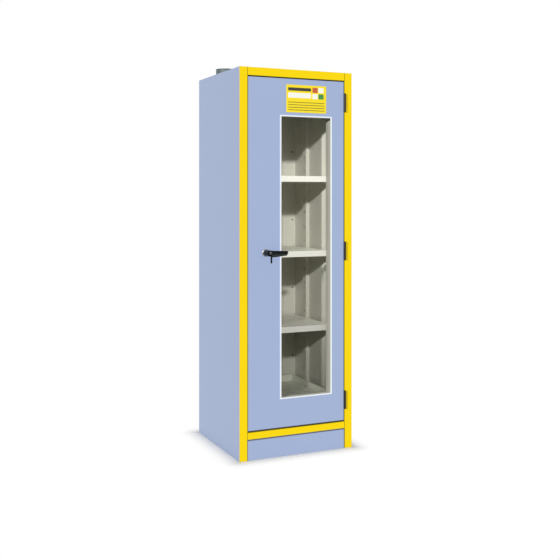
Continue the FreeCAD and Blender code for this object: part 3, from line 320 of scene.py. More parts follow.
PANEL_BLUE = linear(162, 178, 211)
FRAME_YELLOW = linear(252, 218, 6)
INSIDE_WHITE = linear(243, 242, 230)
TRAY_GREY = linear(238, 240, 224)
LINING_GREY = linear(212, 211, 197)
BEAD_GREY = linear(178, 177, 165)
DUCT_GREY = linear(82, 92, 91)
HINGE_BLACK = linear(19, 18, 17)
TRIM_WHITE = linear(244, 248, 252)
HANDLE_BLACK = linear(10, 11, 12)
# The grey of the lever's lower edge: wear and a painted reflection.
WEAR_AND_REFLECTION_GREY = linear(66, 74, 72)
print("panel blue", [round(v, 3) for v in PANEL_BLUE[:3]])

# %% [markdown]
# ## Dark joint lines and painted shade
#
# The photograph shows thin dark lines where the rails meet the stiles and round the plinth. They
# are narrow gaps that hold shadow and dust. The gaps in the solids are closed to a third of a
# millimetre, so the lines are painted: a band of a few millimetres on each side of the joint, partly
# painted shade. Along the plinth's top the band is painted shadow under the rail that overhangs it.
# The wider gap round the door looks black. On such a door a dark strip that swells in a fire is
# let into both faces of the gap, so each gets a dark band a little behind the front, which is also
# painted shade of the gap. Narrow bands of painted shade on the fronts of the door and the rails
# beside the gap widen its dark line.

# %% Joint masks
FRONT = -0.26125
HALF_OPENING = 0.273
OPENING_TOP = 1.908
OPENING_BOTTOM = 0.140
PLINTH_TOP = 0.104
JOINT = 0.0022
STRIP_NEAR = FRONT + 0.0012
STRIP_FAR = FRONT + 0.034
DOOR_TOP = 1.904
DOOR_BOTTOM = 0.144
# Widths of the painted shade bands beside the door's gap: upper, lower and on the hinge side.
UPPER_DARK = 0.0023
LOWER_DARK = 0.0035
DOOR_RIGHT = 0.269
HINGE_SIDE_DARK = 0.0026
SOFT = 0.0008
STRIP_SOFT = 0.0006


def strip_and_gap_shade(place):
    """Dark from just behind the front to the far edge of the strip: a seal strip, and painted shade in the
    gap.
    """
    y = place.axis("Y")
    behind_front = y.between(STRIP_NEAR, STRIP_NEAR + STRIP_SOFT)
    return behind_front * (1 - y.between(STRIP_FAR, STRIP_FAR + STRIP_SOFT))


def frame_joints_and_shade(place):
    """Dark where a rail's end meets a stile, and along the sealing strip of the opening, which is partly
    painted shade of the gap. The edges of the rails beside the door are dark on their fronts too:
    painted shade that widens the gap's line."""
    x = place.axis("X").math("ABSOLUTE")
    z = place.axis("Z")
    near = 1 - (x - HALF_OPENING).math("ABSOLUTE").between(JOINT * 0.4, JOINT)
    above = z.between(OPENING_TOP - 0.001, OPENING_TOP)
    below = 1 - z.between(OPENING_BOTTOM, OPENING_BOTTOM + 0.001)
    in_opening = 1 - x.between(HALF_OPENING + 0.002, HALF_OPENING + 0.003)
    # Painted shade on the rails' fronts beside the door's gap, which widens its dark line.
    upper_shade_band = 1 - (z - OPENING_TOP).math("ABSOLUTE").between(UPPER_DARK - SOFT, UPPER_DARK)
    lower_shade_band = 1 - (z - OPENING_BOTTOM).math("ABSOLUTE").between(LOWER_DARK - SOFT, LOWER_DARK)
    rail_shade_bands = (upper_shade_band + lower_shade_band) * (1 - x.between(HALF_OPENING - SOFT, HALF_OPENING))
    opening_strip_shade = strip_and_gap_shade(place) * in_opening * 0.97
    return (near * (above + below) * 0.8).math("MAXIMUM", opening_strip_shade).math("MAXIMUM", rail_shade_bands * 0.9)


def door_strip_and_shade(place):
    """Dark along the strip in the door's four edges, partly painted shade of the gap, and painted shade
    in front along all but its left edge, which widens the gap's line.
    """
    x = place.axis("X")
    y = place.axis("Y")
    z = place.axis("Z")
    # Painted shade on the door's front along its top, bottom and hinge side, beside the gap.
    upper_shade_band = z.between(DOOR_TOP - UPPER_DARK, DOOR_TOP - UPPER_DARK + SOFT)
    lower_shade_band = 1 - z.between(DOOR_BOTTOM + LOWER_DARK - SOFT, DOOR_BOTTOM + LOWER_DARK)
    hinge_shade_band = x.between(DOOR_RIGHT - HINGE_SIDE_DARK, DOOR_RIGHT - HINGE_SIDE_DARK + SOFT)
    rim_shade = (upper_shade_band + lower_shade_band).math("MAXIMUM", hinge_shade_band) * (1 - y.between(STRIP_FAR, STRIP_FAR + SOFT))
    return rim_shade.math("MAXIMUM", strip_and_gap_shade(place)) * 0.95


def plinth_painted_shade(place):
    """Painted shadow along the plinth's top, under the rail that overhangs it, and painted shade at its ends.
    """
    x = place.axis("X").math("ABSOLUTE")
    z = place.axis("Z")
    ends = x.between(HALF_OPENING - 0.0034, HALF_OPENING - 0.0016)
    # Painted shadow under the lower rail, which overhangs the plinth's top.
    top = z.between(PLINTH_TOP - 0.0100, PLINTH_TOP - 0.0056)
    return ends.math("MAXIMUM", top) * 0.95


panel_paint = powder_coat("panel_paint", PANEL_BLUE)
plinth_paint = powder_coat("plinth_paint", PANEL_BLUE, marks=plinth_painted_shade)
door_paint = powder_coat("door_paint", PANEL_BLUE, marks=door_strip_and_shade)
frame_paint = powder_coat(
    "frame_paint", FRAME_YELLOW, roughness=0.36, peel=0.06, mottle=0.015, marks=frame_joints_and_shade, gloss=0.25
)
inside_paint = powder_coat("inside_paint", INSIDE_WHITE, roughness=0.45, mottle=0.02)
bead_paint = powder_coat("bead_paint", BEAD_GREY, roughness=0.45, mottle=0.03)
upright_paint = powder_coat("upright_paint", LINING_GREY, roughness=0.45, mottle=0.02)
tray_paint = powder_coat("tray_paint", TRAY_GREY, roughness=0.5, mottle=0.04)
duct_paint = powder_coat("duct_paint", DUCT_GREY, roughness=0.5, mottle=0.05)
hinge_paint = powder_coat("hinge_paint", HINGE_BLACK, roughness=0.38, peel=0.15, mottle=0.1, gloss=0.3)
window_paint = powder_coat("window_paint", TRIM_WHITE, roughness=0.34, peel=0.05, mottle=0.01)
print("painted finishes:", sum("paint" in material.name for material in bpy.data.materials))

# %% [markdown]
# ## Bare metal
#
# Rolled steel has fine lines along its length, and zinc on it shows pale flakes. Stretching the
# coordinates before the noise turns round spots into long lines. A turned piece has its lines
# round the axis, so there the noise reads the distance from the axis.


# %% Metals
def rolled_steel(name, colour, along="Z", roughness=0.32):
    """Steel with lines along one axis."""
    material, shader, place = start_material(name)
    stretch = {"X": (6, 500, 500), "Y": (500, 6, 500), "Z": (500, 500, 6)}[along]
    lines = place.stretched(*stretch).noise(1.0, 3.0, 0.7)
    cloud = place.noise(30.0, 2.0)
    body = (lines * 0.5 + cloud * 0.5).blend(tint(colour, 0.78), tint(colour, 1.12))
    feed(shader, Base_Color=body, Metallic=1.0, Roughness=lines * 0.16 + (roughness - 0.08))
    feed(shader, Normal=lines.bump(0.12, 0.0003))
    return material


def turned_metal(name, colour, centre, roughness=0.18):
    """Metal with fine rings round an axis that runs along Y through a centre (x, z)."""
    material, shader, place = start_material(name)
    x = place.axis("X") - centre[0]
    z = place.axis("Z") - centre[1]
    radius = (x * x + z * z).math("SQRT")
    rings = radius.node("ShaderNodeTexNoise", {"W": radius, "Scale": 2600.0}, noise_dimensions="1D")
    smear = place.noise(120.0, 2.0)
    body = smear.blend(tint(colour, 0.86), tint(colour, 1.06))
    feed(shader, Base_Color=body, Metallic=1.0, Roughness=rings * 0.10 + smear * 0.08 + (roughness - 0.09))
    feed(shader, Normal=rings.bump(0.08, 0.0002))
    return material


LOCK_X = -0.175
LOCK_Z = 1.026
bare_steel = rolled_steel("bare_steel", (0.55, 0.55, 0.54, 1))
guide_brass = rolled_steel("guide_brass", (0.62, 0.46, 0.19, 1), roughness=0.28)
lock_chrome = turned_metal("lock_chrome", (0.72, 0.73, 0.75, 1), (LOCK_X, LOCK_Z))
rosette_steel = turned_metal("rosette_steel", (0.34, 0.345, 0.35, 1), (LOCK_X, LOCK_Z), roughness=0.34)
lock_black = turned_metal("lock_black", (0.030, 0.030, 0.032, 1), (LOCK_X, LOCK_Z), roughness=0.3)
print("metals ready")

# %% [markdown]
# ## Plastic, rubber, board and glass
#
# The lever is moulded in smooth black plastic, and is a little grey along its lower edge: wear
# where fingers pull it, and a painted reflection. The window is clear glass: a mostly see-through
# shader lets the light pass as well, which full refraction doesn't do without much more work for the
# renderer.


# %% Other finishes
def moulded_plastic(name, colour, wear_and_reflection=None):
    """Plastic with a faint spark-eroded grain. The last argument is a function that greys places, from 0 to 1,
    for wear and a painted reflection.
    """
    material, shader, place = start_material(name)
    grain = place.noise(1400.0, 2.0)
    cloud = place.noise(60.0, 2.0)
    body = cloud.blend(tint(colour, 0.85), tint(colour, 1.2))
    if wear_and_reflection:
        # Greyer places: wear and a painted reflection.
        body = wear_and_reflection(place).blend(body, WEAR_AND_REFLECTION_GREY)
    feed(shader, Base_Color=body, Roughness=cloud * 0.10 + 0.15, Specular_IOR_Level=0.12)
    feed(shader, Normal=grain.bump(0.03, 0.0002))
    return material


def soft_rubber(name, colour):
    """Dull rubber with a dusty bloom."""
    material, shader, place = start_material(name)
    grain = place.noise(700.0, 3.0)
    bloom = place.noise(25.0, 3.0)
    body = bloom.blend(colour, tint(colour, 1.9))
    feed(shader, Base_Color=body, Roughness=bloom * 0.2 + 0.62, Normal=grain.bump(0.3, 0.0004))
    return material


def lining_board(name, colour):
    """Laminated board: a faint pebbled skin over slow, cloudy tone."""
    material, shader, place = start_material(name)
    cloud = place.noise(4.0, 4.0)
    pebble = place.noise(420.0, 2.0)
    body = (cloud * 0.7 + pebble * 0.3).blend(tint(colour, 0.95), tint(colour, 1.04))
    feed(shader, Base_Color=body, Roughness=cloud * 0.1 + 0.5, Normal=pebble.bump(0.12, 0.0005))
    return material


def mineral_fibre(name, colour):
    """Pressed mineral board: short fibres in layers."""
    material, shader, place = start_material(name)
    fibre = place.stretched(1, 1, 5).noise(240.0, 4.0, 0.7)
    clump = place.noise(45.0, 3.0)
    body = (fibre * 0.6 + clump * 0.4).blend(tint(colour, 0.7), tint(colour, 1.15))
    feed(shader, Base_Color=body, Roughness=fibre * 0.1 + 0.85, Normal=fibre.bump(0.6, 0.001))
    return material


def window_pane(name):
    """Clear glass: nearly all of it lets light through, and what is left mirrors the room."""
    material, shader, place = start_material(name)
    wipe = place.stretched(3, 1, 1).noise(9.0, 4.0, 0.6)
    body = wipe.blend(linear(20, 32, 28), linear(30, 40, 36))
    feed(shader, Base_Color=body, Roughness=wipe * 0.05 + 0.01, Alpha=wipe * 0.02 + 0.02)
    material.surface_render_method = "BLENDED"
    return material


def lower_edge_wear_and_reflection(place):
    """Greyer towards the lower edge of the arm: wear where fingers pull it, and a painted reflection."""
    below = (place.axis("Z") - LOCK_Z) * -1
    return below.between(0.001, 0.009) * (place.stretched(1, 1, 3).noise(70.0, 3.0) * 0.5 + 0.45)


handle_plastic = moulded_plastic("handle_plastic", HANDLE_BLACK)
arm_plastic = moulded_plastic("arm_plastic", HANDLE_BLACK, wear_and_reflection=lower_edge_wear_and_reflection)
seal_rubber = soft_rubber("seal_rubber", linear(120, 121, 116))
glazing_tape = lining_board("glazing_tape", BEAD_GREY)
liner_board = lining_board("liner_board", LINING_GREY)
insulation = mineral_fibre("insulation", linear(196, 190, 178))
window_glass = window_pane("window_glass")
print("other finishes ready")

# %% [markdown]
# ## Finishes on the solids
#
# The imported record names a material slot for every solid. One table turns a slot into a finish,
# and a few solids get a finish of their own.

# %% Assign the finishes
FINISHES = {
    "panel_paint": panel_paint,
    "frame_paint": frame_paint,
    "inside_paint": inside_paint,
    "tray_paint": tray_paint,
    "hinge_paint": hinge_paint,
    "duct_paint": duct_paint,
    "bare_steel": bare_steel,
    "window_trim": window_paint,
    "liner_board": liner_board,
    "insulation": insulation,
    "seal_rubber": seal_rubber,
    "glazing_tape": glazing_tape,
    "window_glass": window_glass,
    "handle_plastic": handle_plastic,
    "lock_chrome": lock_chrome,
    "guide_brass": guide_brass,
}
OWN_FINISH = {
    "plinth_panel": plinth_paint,
    "door_outer_skin": door_paint,
    "inner_glazing_bead": bead_paint,
    "door_inner_skin": bead_paint,
    "lock_cylinder": lock_black,
    "left_uprights": upright_paint,
    "right_uprights": upright_paint,
}


def put_on(piece, material):
    """Give a piece one finish."""
    piece.data.materials.clear()
    piece.data.materials.append(material)


for part in frame["record"]["subparts"]:
    name = part["node"]
    put_on(nodes[name], OWN_FINISH.get(name, FINISHES[part["material_slot"]]))

# %% [markdown]
# ## Surfaces from formulas
#
# Each new piece is a grid of points worked out in one go with numpy. A grid has two directions:
# round the piece, and along it. The same few helpers turn any such grid into a mesh.


# %% Grid to mesh
def grid_faces(rows, columns, wrap_rows=False):
    """Corner numbers of the quads between neighbouring rows and columns; columns always wrap."""
    row = np.arange(rows if wrap_rows else rows - 1)[:, None]
    column = np.arange(columns)[None, :]
    below = (row + 1) % rows
    beside = (column + 1) % columns
    corners = [row * columns + column, row * columns + beside]
    corners += [below * columns + beside, below * columns + column]
    return np.stack(np.broadcast_arrays(*corners), axis=-1).reshape(-1, 4)


def piece_from(name, points, faces, body, material, smooth_angle=35):
    """Put points and faces into a mesh, merge the doubled poles, and turn the faces outwards."""
    mesh = bpy.data.meshes.new(name)
    mesh.from_pydata(points.reshape(-1, 3).tolist(), [], faces)
    work = bmesh.new()
    work.from_mesh(mesh)
    bmesh.ops.remove_doubles(work, verts=work.verts, dist=1e-7)
    bmesh.ops.recalc_face_normals(work, faces=work.faces)
    work.to_mesh(mesh)
    work.free()
    mesh.shade_smooth()
    mesh.set_sharp_from_angle(angle=math.radians(smooth_angle))
    piece = bpy.data.objects.new(name, mesh)
    bpy.context.scene.collection.objects.link(piece)
    put_on(piece, material)
    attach(piece, body)
    low, high = points.reshape(-1, 3).min(0), points.reshape(-1, 3).max(0)
    print(f"{name}: {len(mesh.polygons)} faces, {np.round((high - low) * 1000, 1).tolist()} mm")
    return piece


def turned_points(profile, centre, axis, segments=48):
    """A profile of (radius, height) carried round an axis: radius times cosine and sine."""
    angle = np.linspace(0, 2 * np.pi, segments, endpoint=False)
    radius, height = np.asarray(profile, float).T
    first = radius[:, None] * np.cos(angle)
    second = radius[:, None] * np.sin(angle)
    along = np.broadcast_to(height[:, None], first.shape)
    order = {"X": (along, first, second), "Y": (second, along, first), "Z": (first, second, along)}[axis]
    return np.stack(order, axis=-1) + np.asarray(centre)


def turned_piece(name, profile, centre, axis, body, material, segments=48, wrap=False):
    """A turned piece; with `wrap` the profile is closed, as for a ring."""
    points = turned_points(profile, centre, axis, segments)
    faces = grid_faces(len(profile), segments, wrap).tolist()
    return piece_from(name, points, faces, body, material)


def rectangle(x0, x1, z0, z1):
    """Four corners in order."""
    return [(x0, z0), (x1, z0), (x1, z1), (x0, z1)]


def rounded_outline(corners, radius, steps=6):
    """Round each corner of a polygon: the arc's middle lies on the corner's bisector, and its
    points turn evenly from the tangent point before the corner to the one after it."""
    corners = np.asarray(corners, float)
    before = np.roll(corners, 1, axis=0) - corners
    after = np.roll(corners, -1, axis=0) - corners
    before /= np.linalg.norm(before, axis=1, keepdims=True)
    after /= np.linalg.norm(after, axis=1, keepdims=True)
    inner = np.arccos(np.clip((before * after).sum(1), -1, 1))[:, None]
    radius = np.broadcast_to(np.asarray(radius, float), (len(corners),))[:, None]
    middle = corners + (before + after) / np.linalg.norm(before + after, axis=1, keepdims=True) * (
        radius / np.sin(inner / 2)
    )
    tangent = radius / np.tan(inner / 2)
    start = corners + before * tangent - middle
    end = corners + after * tangent - middle
    sweep = (np.pi - inner)[:, :, None]
    share = np.linspace(0, 1, steps)[None, :, None]
    turn = np.sin((1 - share) * sweep) * start[:, None] + np.sin(share * sweep) * end[:, None]
    return (middle[:, None] + turn / np.sin(sweep)).reshape(-1, 2)


def lofted_piece(name, sections, body, material, smooth_angle=35):
    """Closed loops of points joined in a row, with the first and last loop filled."""
    sections = np.asarray(sections)
    rows, columns = sections.shape[:2]
    faces = grid_faces(rows, columns).tolist()
    faces.append(list(range(columns)))
    faces.append([(rows - 1) * columns + i for i in range(columns)])
    return piece_from(name, sections, faces, body, material, smooth_angle)


print("grid helpers ready")

# %% [markdown]
# ## The lever
#
# The lever is a round hub with a flat arm that narrows towards its tip. Along its lower front edge
# runs a long bevel for the fingers, so the arm reaches further down than up. The hub and the
# rosette behind it are profiles turned round the lock's axis, with every rim rounded: a rim that
# is moulded has to leave its mould, and it is what catches the light. The arm is a five-sided
# section with rounded corners. It grows out of the hub over the first few millimetres, narrows
# evenly, and is drawn in over the last ones so that the tip is round.

# %% Hub and rosette
HUB_PROFILE = [
    (0.0, 0.0003), (0.0100, 0.0003), (0.0100, 0.0063), (0.0148, 0.0063), (0.0157, 0.0068), (0.0161, 0.0079),
    (0.0160, 0.0160), (0.0158, 0.0300), (0.0156, 0.0450), (0.0153, 0.0570), (0.0150, 0.0594),
    (0.0143, 0.0612), (0.0133, 0.0620), (0.0120, 0.0620), (0.0115, 0.0617), (0.0112, 0.0609),
    (0.0112, 0.0330), (0.0, 0.0330),
]
ROSETTE_PROFILE = [
    (0.01025, 0.0), (0.0196, 0.0), (0.0200, 0.0006), (0.0200, 0.0019), (0.0197, 0.0033), (0.0189, 0.0047),
    (0.0177, 0.0057), (0.0162, 0.0060), (0.01025, 0.0060),
]


def toward_door(profile):
    """A profile measured from the door's face towards the front, as heights along Y."""
    return np.asarray(profile) * (1, -1)


LOCK_AXIS = (LOCK_X, FRONT, LOCK_Z)
lever_hub = turned_piece(
    "lever_hub", toward_door(HUB_PROFILE), LOCK_AXIS, "Y", "lever", handle_plastic, 64
)
round_rosette = turned_piece(
    "round_rosette", toward_door(ROSETTE_PROFILE), LOCK_AXIS, "Y", "door",
    rosette_steel, 64, True,
)
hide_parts("lever_handle")
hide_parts("rosette")

# %% Arm
ARM_START = 0.006
ARM_LENGTH = 0.097
ARM_FRONT = 0.062
ARM_THICKNESS = 0.016
ARM_BEVEL = 0.014
BACK_EDGE = 0.003
TIP_ROUND = 0.007
CORNER_RADII = (0.0011, 0.0022, 0.0026, 0.0022, 0.0022)
RISE_AT_HUB = 0.0136
RISE_LOST = 0.0030
DROP_IN_HUB = 0.0145
DROP_AT_HUB = 0.0222
DROP_LOST = 0.0092
GROWS_OVER = 0.012
TIP_SHRINK = 0.42


def smooth(share):
    """A smooth step from 0 to 1."""
    share = np.clip(share, 0, 1)
    return share * share * (3 - 2 * share)


def arm_section(distance, rise, drop, shrink):
    """The arm's outline at one distance from the hub, in (height, depth), shrunk about its middle."""
    rear = ARM_FRONT - ARM_THICKNESS
    corners = [(-drop, rear), (-drop, rear + BACK_EDGE), (-drop + ARM_BEVEL, ARM_FRONT)]
    corners += [(rise, ARM_FRONT), (rise, rear)]
    outline = rounded_outline(corners, CORNER_RADII, 5)
    middle = np.array([(rise - drop) / 2, rear + ARM_THICKNESS / 2])
    outline = middle + (outline - middle) * shrink
    x = np.full(len(outline), LOCK_X + distance)
    return np.column_stack((x, FRONT - outline[:, 1], LOCK_Z + outline[:, 0]))


body_part = np.linspace(ARM_START, ARM_LENGTH - TIP_ROUND, 16)
quarter = np.linspace(0, np.pi / 2, 7)[1:]
distance = np.concatenate((body_part, ARM_LENGTH - TIP_ROUND * (1 - np.sin(quarter))))
shrink = np.concatenate((np.ones(len(body_part)), 1 - TIP_SHRINK * (1 - np.cos(quarter))))
along = distance / ARM_LENGTH
rise = RISE_AT_HUB - RISE_LOST * along
grown = smooth((distance - ARM_START) / GROWS_OVER)
drop = (DROP_AT_HUB - DROP_LOST * along) * grown + DROP_IN_HUB * (1 - grown)
lever_arm = lofted_piece(
    "lever_arm", [arm_section(*row) for row in zip(distance, rise, drop, shrink)], "lever", arm_plastic,
)
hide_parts("lever_handle")

# %% [markdown]
# ## The key's bow
#
# The folding bow is a flat grip with rounded ends and a hole for a ring, and two thin cheeks that
# hold it to the blade by a pin. The grip is a closed ring of points: round the outer rim, over the
# face to the hole, through it and back, with each rim rounded in three steps.

# %% Bow
PIVOT_DEPTH = 0.0715
BOW_HALF = 0.006
BOW_END = 0.048
HOLE_RADIUS = 0.003
BOW_THICKNESS = 0.005
GRIP_TOP = -0.0063
CHEEK_HALF = BOW_HALF - 0.0003
CHEEK_BOTTOM = -0.010
CHEEK_TOP = 0.0057
CHEEK_GAP = 0.0011


def moved_out(loop, distance):
    """A loop of points moved along its own normals."""
    ahead = np.roll(loop, -1, axis=0) - np.roll(loop, 1, axis=0)
    ahead /= np.linalg.norm(ahead, axis=1, keepdims=True)
    return loop + np.column_stack((ahead[:, 1], -ahead[:, 0])) * distance


def on_key(loop, x):
    """A loop of (forward, up) about the key's pivot, set at one place across the key."""
    across = np.full(len(loop), LOCK_X + x)
    return np.column_stack((across, FRONT - PIVOT_DEPTH - loop[:, 0], LOCK_Z + loop[:, 1]))


RIM_STEPS = ((0.0, 0.0009), (0.0003, 0.0003), (0.0009, 0.0))
grip_corners = rectangle(-BOW_HALF, BOW_HALF, -BOW_END, GRIP_TOP)
outer = rounded_outline(grip_corners, (0.0054, 0.0054, 0.0016, 0.0016), 8)
hole_centre = np.array([0.0, -BOW_END + BOW_HALF])
angle = np.arctan2(outer[:, 1] - hole_centre[1], outer[:, 0])
inner = hole_centre + HOLE_RADIUS * np.column_stack((np.cos(angle), np.sin(angle)))
half = BOW_THICKNESS / 2
rings = [on_key(moved_out(outer, -inset), -half + depth) for inset, depth in RIM_STEPS]
rings += [on_key(moved_out(inner, inset), -half + depth) for inset, depth in reversed(RIM_STEPS)]
rings += [on_key(moved_out(inner, inset), half - depth) for inset, depth in RIM_STEPS]
rings += [on_key(moved_out(outer, -inset), half - depth) for inset, depth in reversed(RIM_STEPS)]
key_grip = piece_from(
    "key_grip", np.array(rings), grid_faces(len(rings), len(outer), True).tolist(), "key_bow", handle_plastic,
)

cheek_corners = rectangle(-CHEEK_HALF, CHEEK_HALF, CHEEK_BOTTOM, CHEEK_TOP)
cheek = rounded_outline(cheek_corners, (0.0008, 0.0008, 0.0052, 0.0052), 8)
slices = [(0.0, CHEEK_GAP), (0.0, half - 0.0008), (-0.0003, half - 0.0004), (-0.0009, half - 0.0001)]
cheeks = []
for label, side in (("left", -1), ("right", 1)):
    cheeks.append(
        lofted_piece(
            f"key_cheek_{label}", [on_key(moved_out(cheek, out), side * x) for out, x in slices], "key_bow",
            handle_plastic,
        )
    )
pin_half = [(0.0017, 0.0027), (0.0012, 0.0030), (0.0, 0.0030)]
pin_profile = [(radius, -height) for radius, height in reversed(pin_half)] + pin_half
key_pin = turned_piece(
    "key_pin", pin_profile, (LOCK_X, FRONT - PIVOT_DEPTH, LOCK_Z), "X", "key_bow",
    lock_chrome, 20,
)
for piece in [key_grip, key_pin] + cheeks:
    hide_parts("key_bow")

# %% [markdown]
# ## The plate above the window
#
# A thin yellow plate is fixed to the door above the window. It is a blank card for notes: a dark
# header, ruled lines and a block of four coloured tiles, all a hair thicker than the plate, so that
# they are real edges and not a picture.

# %% Plate and its blocks
PLATE_CENTRE = (0.052, 1.8035)
PLATE_HALF = (0.113, 0.070)
PLATE_THICKNESS = 0.0006
PRINT_THICKNESS = 0.0002
PRINT_HALF = 0.103
BAR_END = 0.026
TILE_WIDTH = 0.030
TILE_HEIGHT = 0.026
LINE_HEIGHT = 0.0030
LINE_PLACES = (-0.020, -0.033, -0.046, -0.059)


def slab_sections(x0, x1, z0, z1, near, far, corner, edge):
    """A rounded rectangle, drawn in by the edge at its front so that the rim is bevelled."""
    loops = []
    for depth, inset in ((near, 0.0), (far - edge, 0.0), (far, edge)):
        corners = rectangle(x0 + inset, x1 - inset, z0 + inset, z1 - inset)
        outline = rounded_outline(corners, corner - inset * 0.5, 6)
        loops.append(np.column_stack((outline[:, 0], np.full(len(outline), FRONT - depth), outline[:, 1])))
    return loops


def sheet_finish(name, colour, roughness=0.3):
    """Printed plastic film: nearly even, with a faint gloss change."""
    material, shader, place = start_material(name)
    cloud = place.noise(70.0, 2.0)
    body = cloud.blend(tint(colour, 0.97), tint(colour, 1.03))
    feed(shader, Base_Color=body, Roughness=cloud * 0.1 + roughness, Normal=cloud.bump(0.04, 0.0002))
    return material


x_mid, z_mid = PLATE_CENTRE
lofted_piece(
    "note_plate",
    slab_sections(
        x_mid - PLATE_HALF[0], x_mid + PLATE_HALF[0], z_mid - PLATE_HALF[1], z_mid + PLATE_HALF[1],
        0.0, PLATE_THICKNESS, 0.004, 0.0002,
    ),
    "door", sheet_finish("plate_yellow", linear(253, 226, 30)),
)


def tile(x, z):
    """One coloured block from its lower left corner."""
    return (x, x + TILE_WIDTH, z, z + TILE_HEIGHT)


bar = (-PRINT_HALF, BAR_END, 0.040, 0.056)
ruled = [(-PRINT_HALF, PRINT_HALF, z, z + LINE_HEIGHT) for z in LINE_PLACES]
field = (-PRINT_HALF, BAR_END, 0.004, 0.030)
PRINTS = {
    "dark": (linear(46, 44, 36), [bar] + ruled),
    "white": (linear(250, 250, 240), [field, tile(0.068, 0.034), tile(0.034, 0.002)]),
    "red": (linear(196, 92, 60), [tile(0.034, 0.034)]),
    "green": (linear(62, 142, 70), [tile(0.068, 0.002)]),
}
for tone, (colour, boxes) in PRINTS.items():
    print_finish = sheet_finish(f"print_{tone}", colour)
    for number, (x0, x1, z0, z1) in enumerate(boxes):
        lofted_piece(
            f"plate_{tone}_{number}",
            slab_sections(
                x_mid + x0, x_mid + x1, z_mid + z0, z_mid + z1,
                PLATE_THICKNESS * 0.5, PLATE_THICKNESS + PRINT_THICKNESS, 0.001, 0.0001,
            ),
            "door", print_finish,
        )

# %% [markdown]
# ## Screws
#
# A screw head is a low dome with a hexagon socket. In polar form the socket's wall is at the
# radius a / cos(angle from the nearest flat's middle). One head is worked out as a grid, and
# numpy adds it to every place at once, so a whole row of screws is one mesh.

# %% Screw heads
HEX = np.pi / 3


def screw_head(radius, height, segments=24):
    """Rings from the socket's floor out to the rim, as (across, across, up)."""
    angle = np.linspace(0, 2 * np.pi, segments, endpoint=False)
    socket = 1 / np.cos((angle + HEX / 2) % HEX - HEX / 2)
    rings = [
        (0.0, 0.35, False), (0.42, 0.35, True), (0.44, 0.98, True), (0.62, 1.0, False),
        (0.84, 0.80, False), (0.96, 0.45, False), (1.0, 0.0, False),
    ]
    across = np.array([r * radius * (socket if hexagon else np.ones(segments)) for r, _, hexagon in rings])
    up = np.array([[h * height] * segments for _, h, _ in rings])
    return np.stack((across * np.cos(angle), across * np.sin(angle), up), axis=-1)


def screws(name, places, facing, radius, height, body, material):
    """A head at every place, its dome along one of the axes, all in one mesh."""
    head = screw_head(radius, height)
    turned_head = {
        "+Y": np.stack((head[..., 0], head[..., 2], head[..., 1]), -1),
        "-Y": np.stack((head[..., 0], -head[..., 2], head[..., 1]), -1),
        "+Z": head,
    }[facing]
    points = np.asarray(places)[:, None, None, :] + turned_head[None]
    rows, columns = head.shape[:2]
    faces = grid_faces(rows, columns)
    shift = np.arange(len(places))[:, None, None] * rows * columns
    return piece_from(name, points, (faces[None] + shift).reshape(-1, 4).tolist(), body, material)


BACK = 0.33875
back_places = [(x, BACK, z) for x in (-0.305, 0.305) for z in np.linspace(0.06, 1.89, 10)]
screws("back_screws", back_places, "+Y", 0.0045, 0.0022, "cabinet", bare_steel)

LINER_BACK = 0.29875
liner_places = [(x, LINER_BACK, z) for x in (-0.238, 0.238) for z in (0.394, 0.784, 1.174, 1.564)]
screws("liner_screws", liner_places, "-Y", 0.0042, 0.0016, "cabinet", hinge_paint)

DUCT_X = 0.197
DUCT_Y = 0.24375
DUCT_RADIUS = 0.050
DUCT_TOP = 2.005
ROOF = 1.950
FLANGE_PLATE = 0.002
FLANGE_CIRCLE = 0.0576
flange_places = [
    (side * DUCT_X + FLANGE_CIRCLE * math.cos(t), DUCT_Y + FLANGE_CIRCLE * math.sin(t), ROOF + FLANGE_PLATE)
    for side in (-1, 1)
    for t in np.radians([45, 135, 225, 315])
]
screws("flange_screws", flange_places, "+Z", 0.0032, 0.0020, "cabinet", bare_steel)

BEAD_FACE = -0.20975
bead_places = [(x, BEAD_FACE, z) for x in (-0.099, 0.2012) for z in np.linspace(0.30, 1.706, 8)]
bead_places += [(x, BEAD_FACE, z) for z in (0.2845, 1.7215) for x in (0.0, 0.105)]
screws("bead_screws", bead_places, "+Y", 0.0035, 0.0014, "door", bare_steel)

# %% [markdown]
# ## Duct lips, welds and hinge caps
#
# The end of a sheet-metal spigot is rolled outwards, so that the duct clamp can't slip off. The
# roll is a small circle carried round the duct's axis. A bead of weld fills the corner between
# the tube and its flange. Each hinge has a low domed cap at both ends of its barrel; the upper
# one turns with the door.

# %% Duct lips and welds
LIP_ROUND = 0.0011
lip_angle = np.linspace(0, 2 * np.pi, 12, endpoint=False)
lip_radius = DUCT_RADIUS + LIP_ROUND * np.cos(lip_angle)
lip_profile = np.column_stack((lip_radius, -LIP_ROUND + LIP_ROUND * np.sin(lip_angle)))
weld_profile = [(0.0500, 0.0020), (0.0536, 0.0020), (0.0530, 0.0026)]
weld_profile += [(0.0520, 0.0031), (0.0509, 0.0043), (0.0500, 0.0055)]
for label, side in (("exhaust", -1), ("inlet", 1)):
    top = (side * DUCT_X, DUCT_Y, DUCT_TOP)
    foot = (side * DUCT_X, DUCT_Y, ROOF)
    turned_piece(f"{label}_lip", lip_profile, top, "Z", "cabinet", duct_paint, 64, True)
    turned_piece(f"{label}_weld", weld_profile, foot, "Z", "cabinet", duct_paint, 64, True)

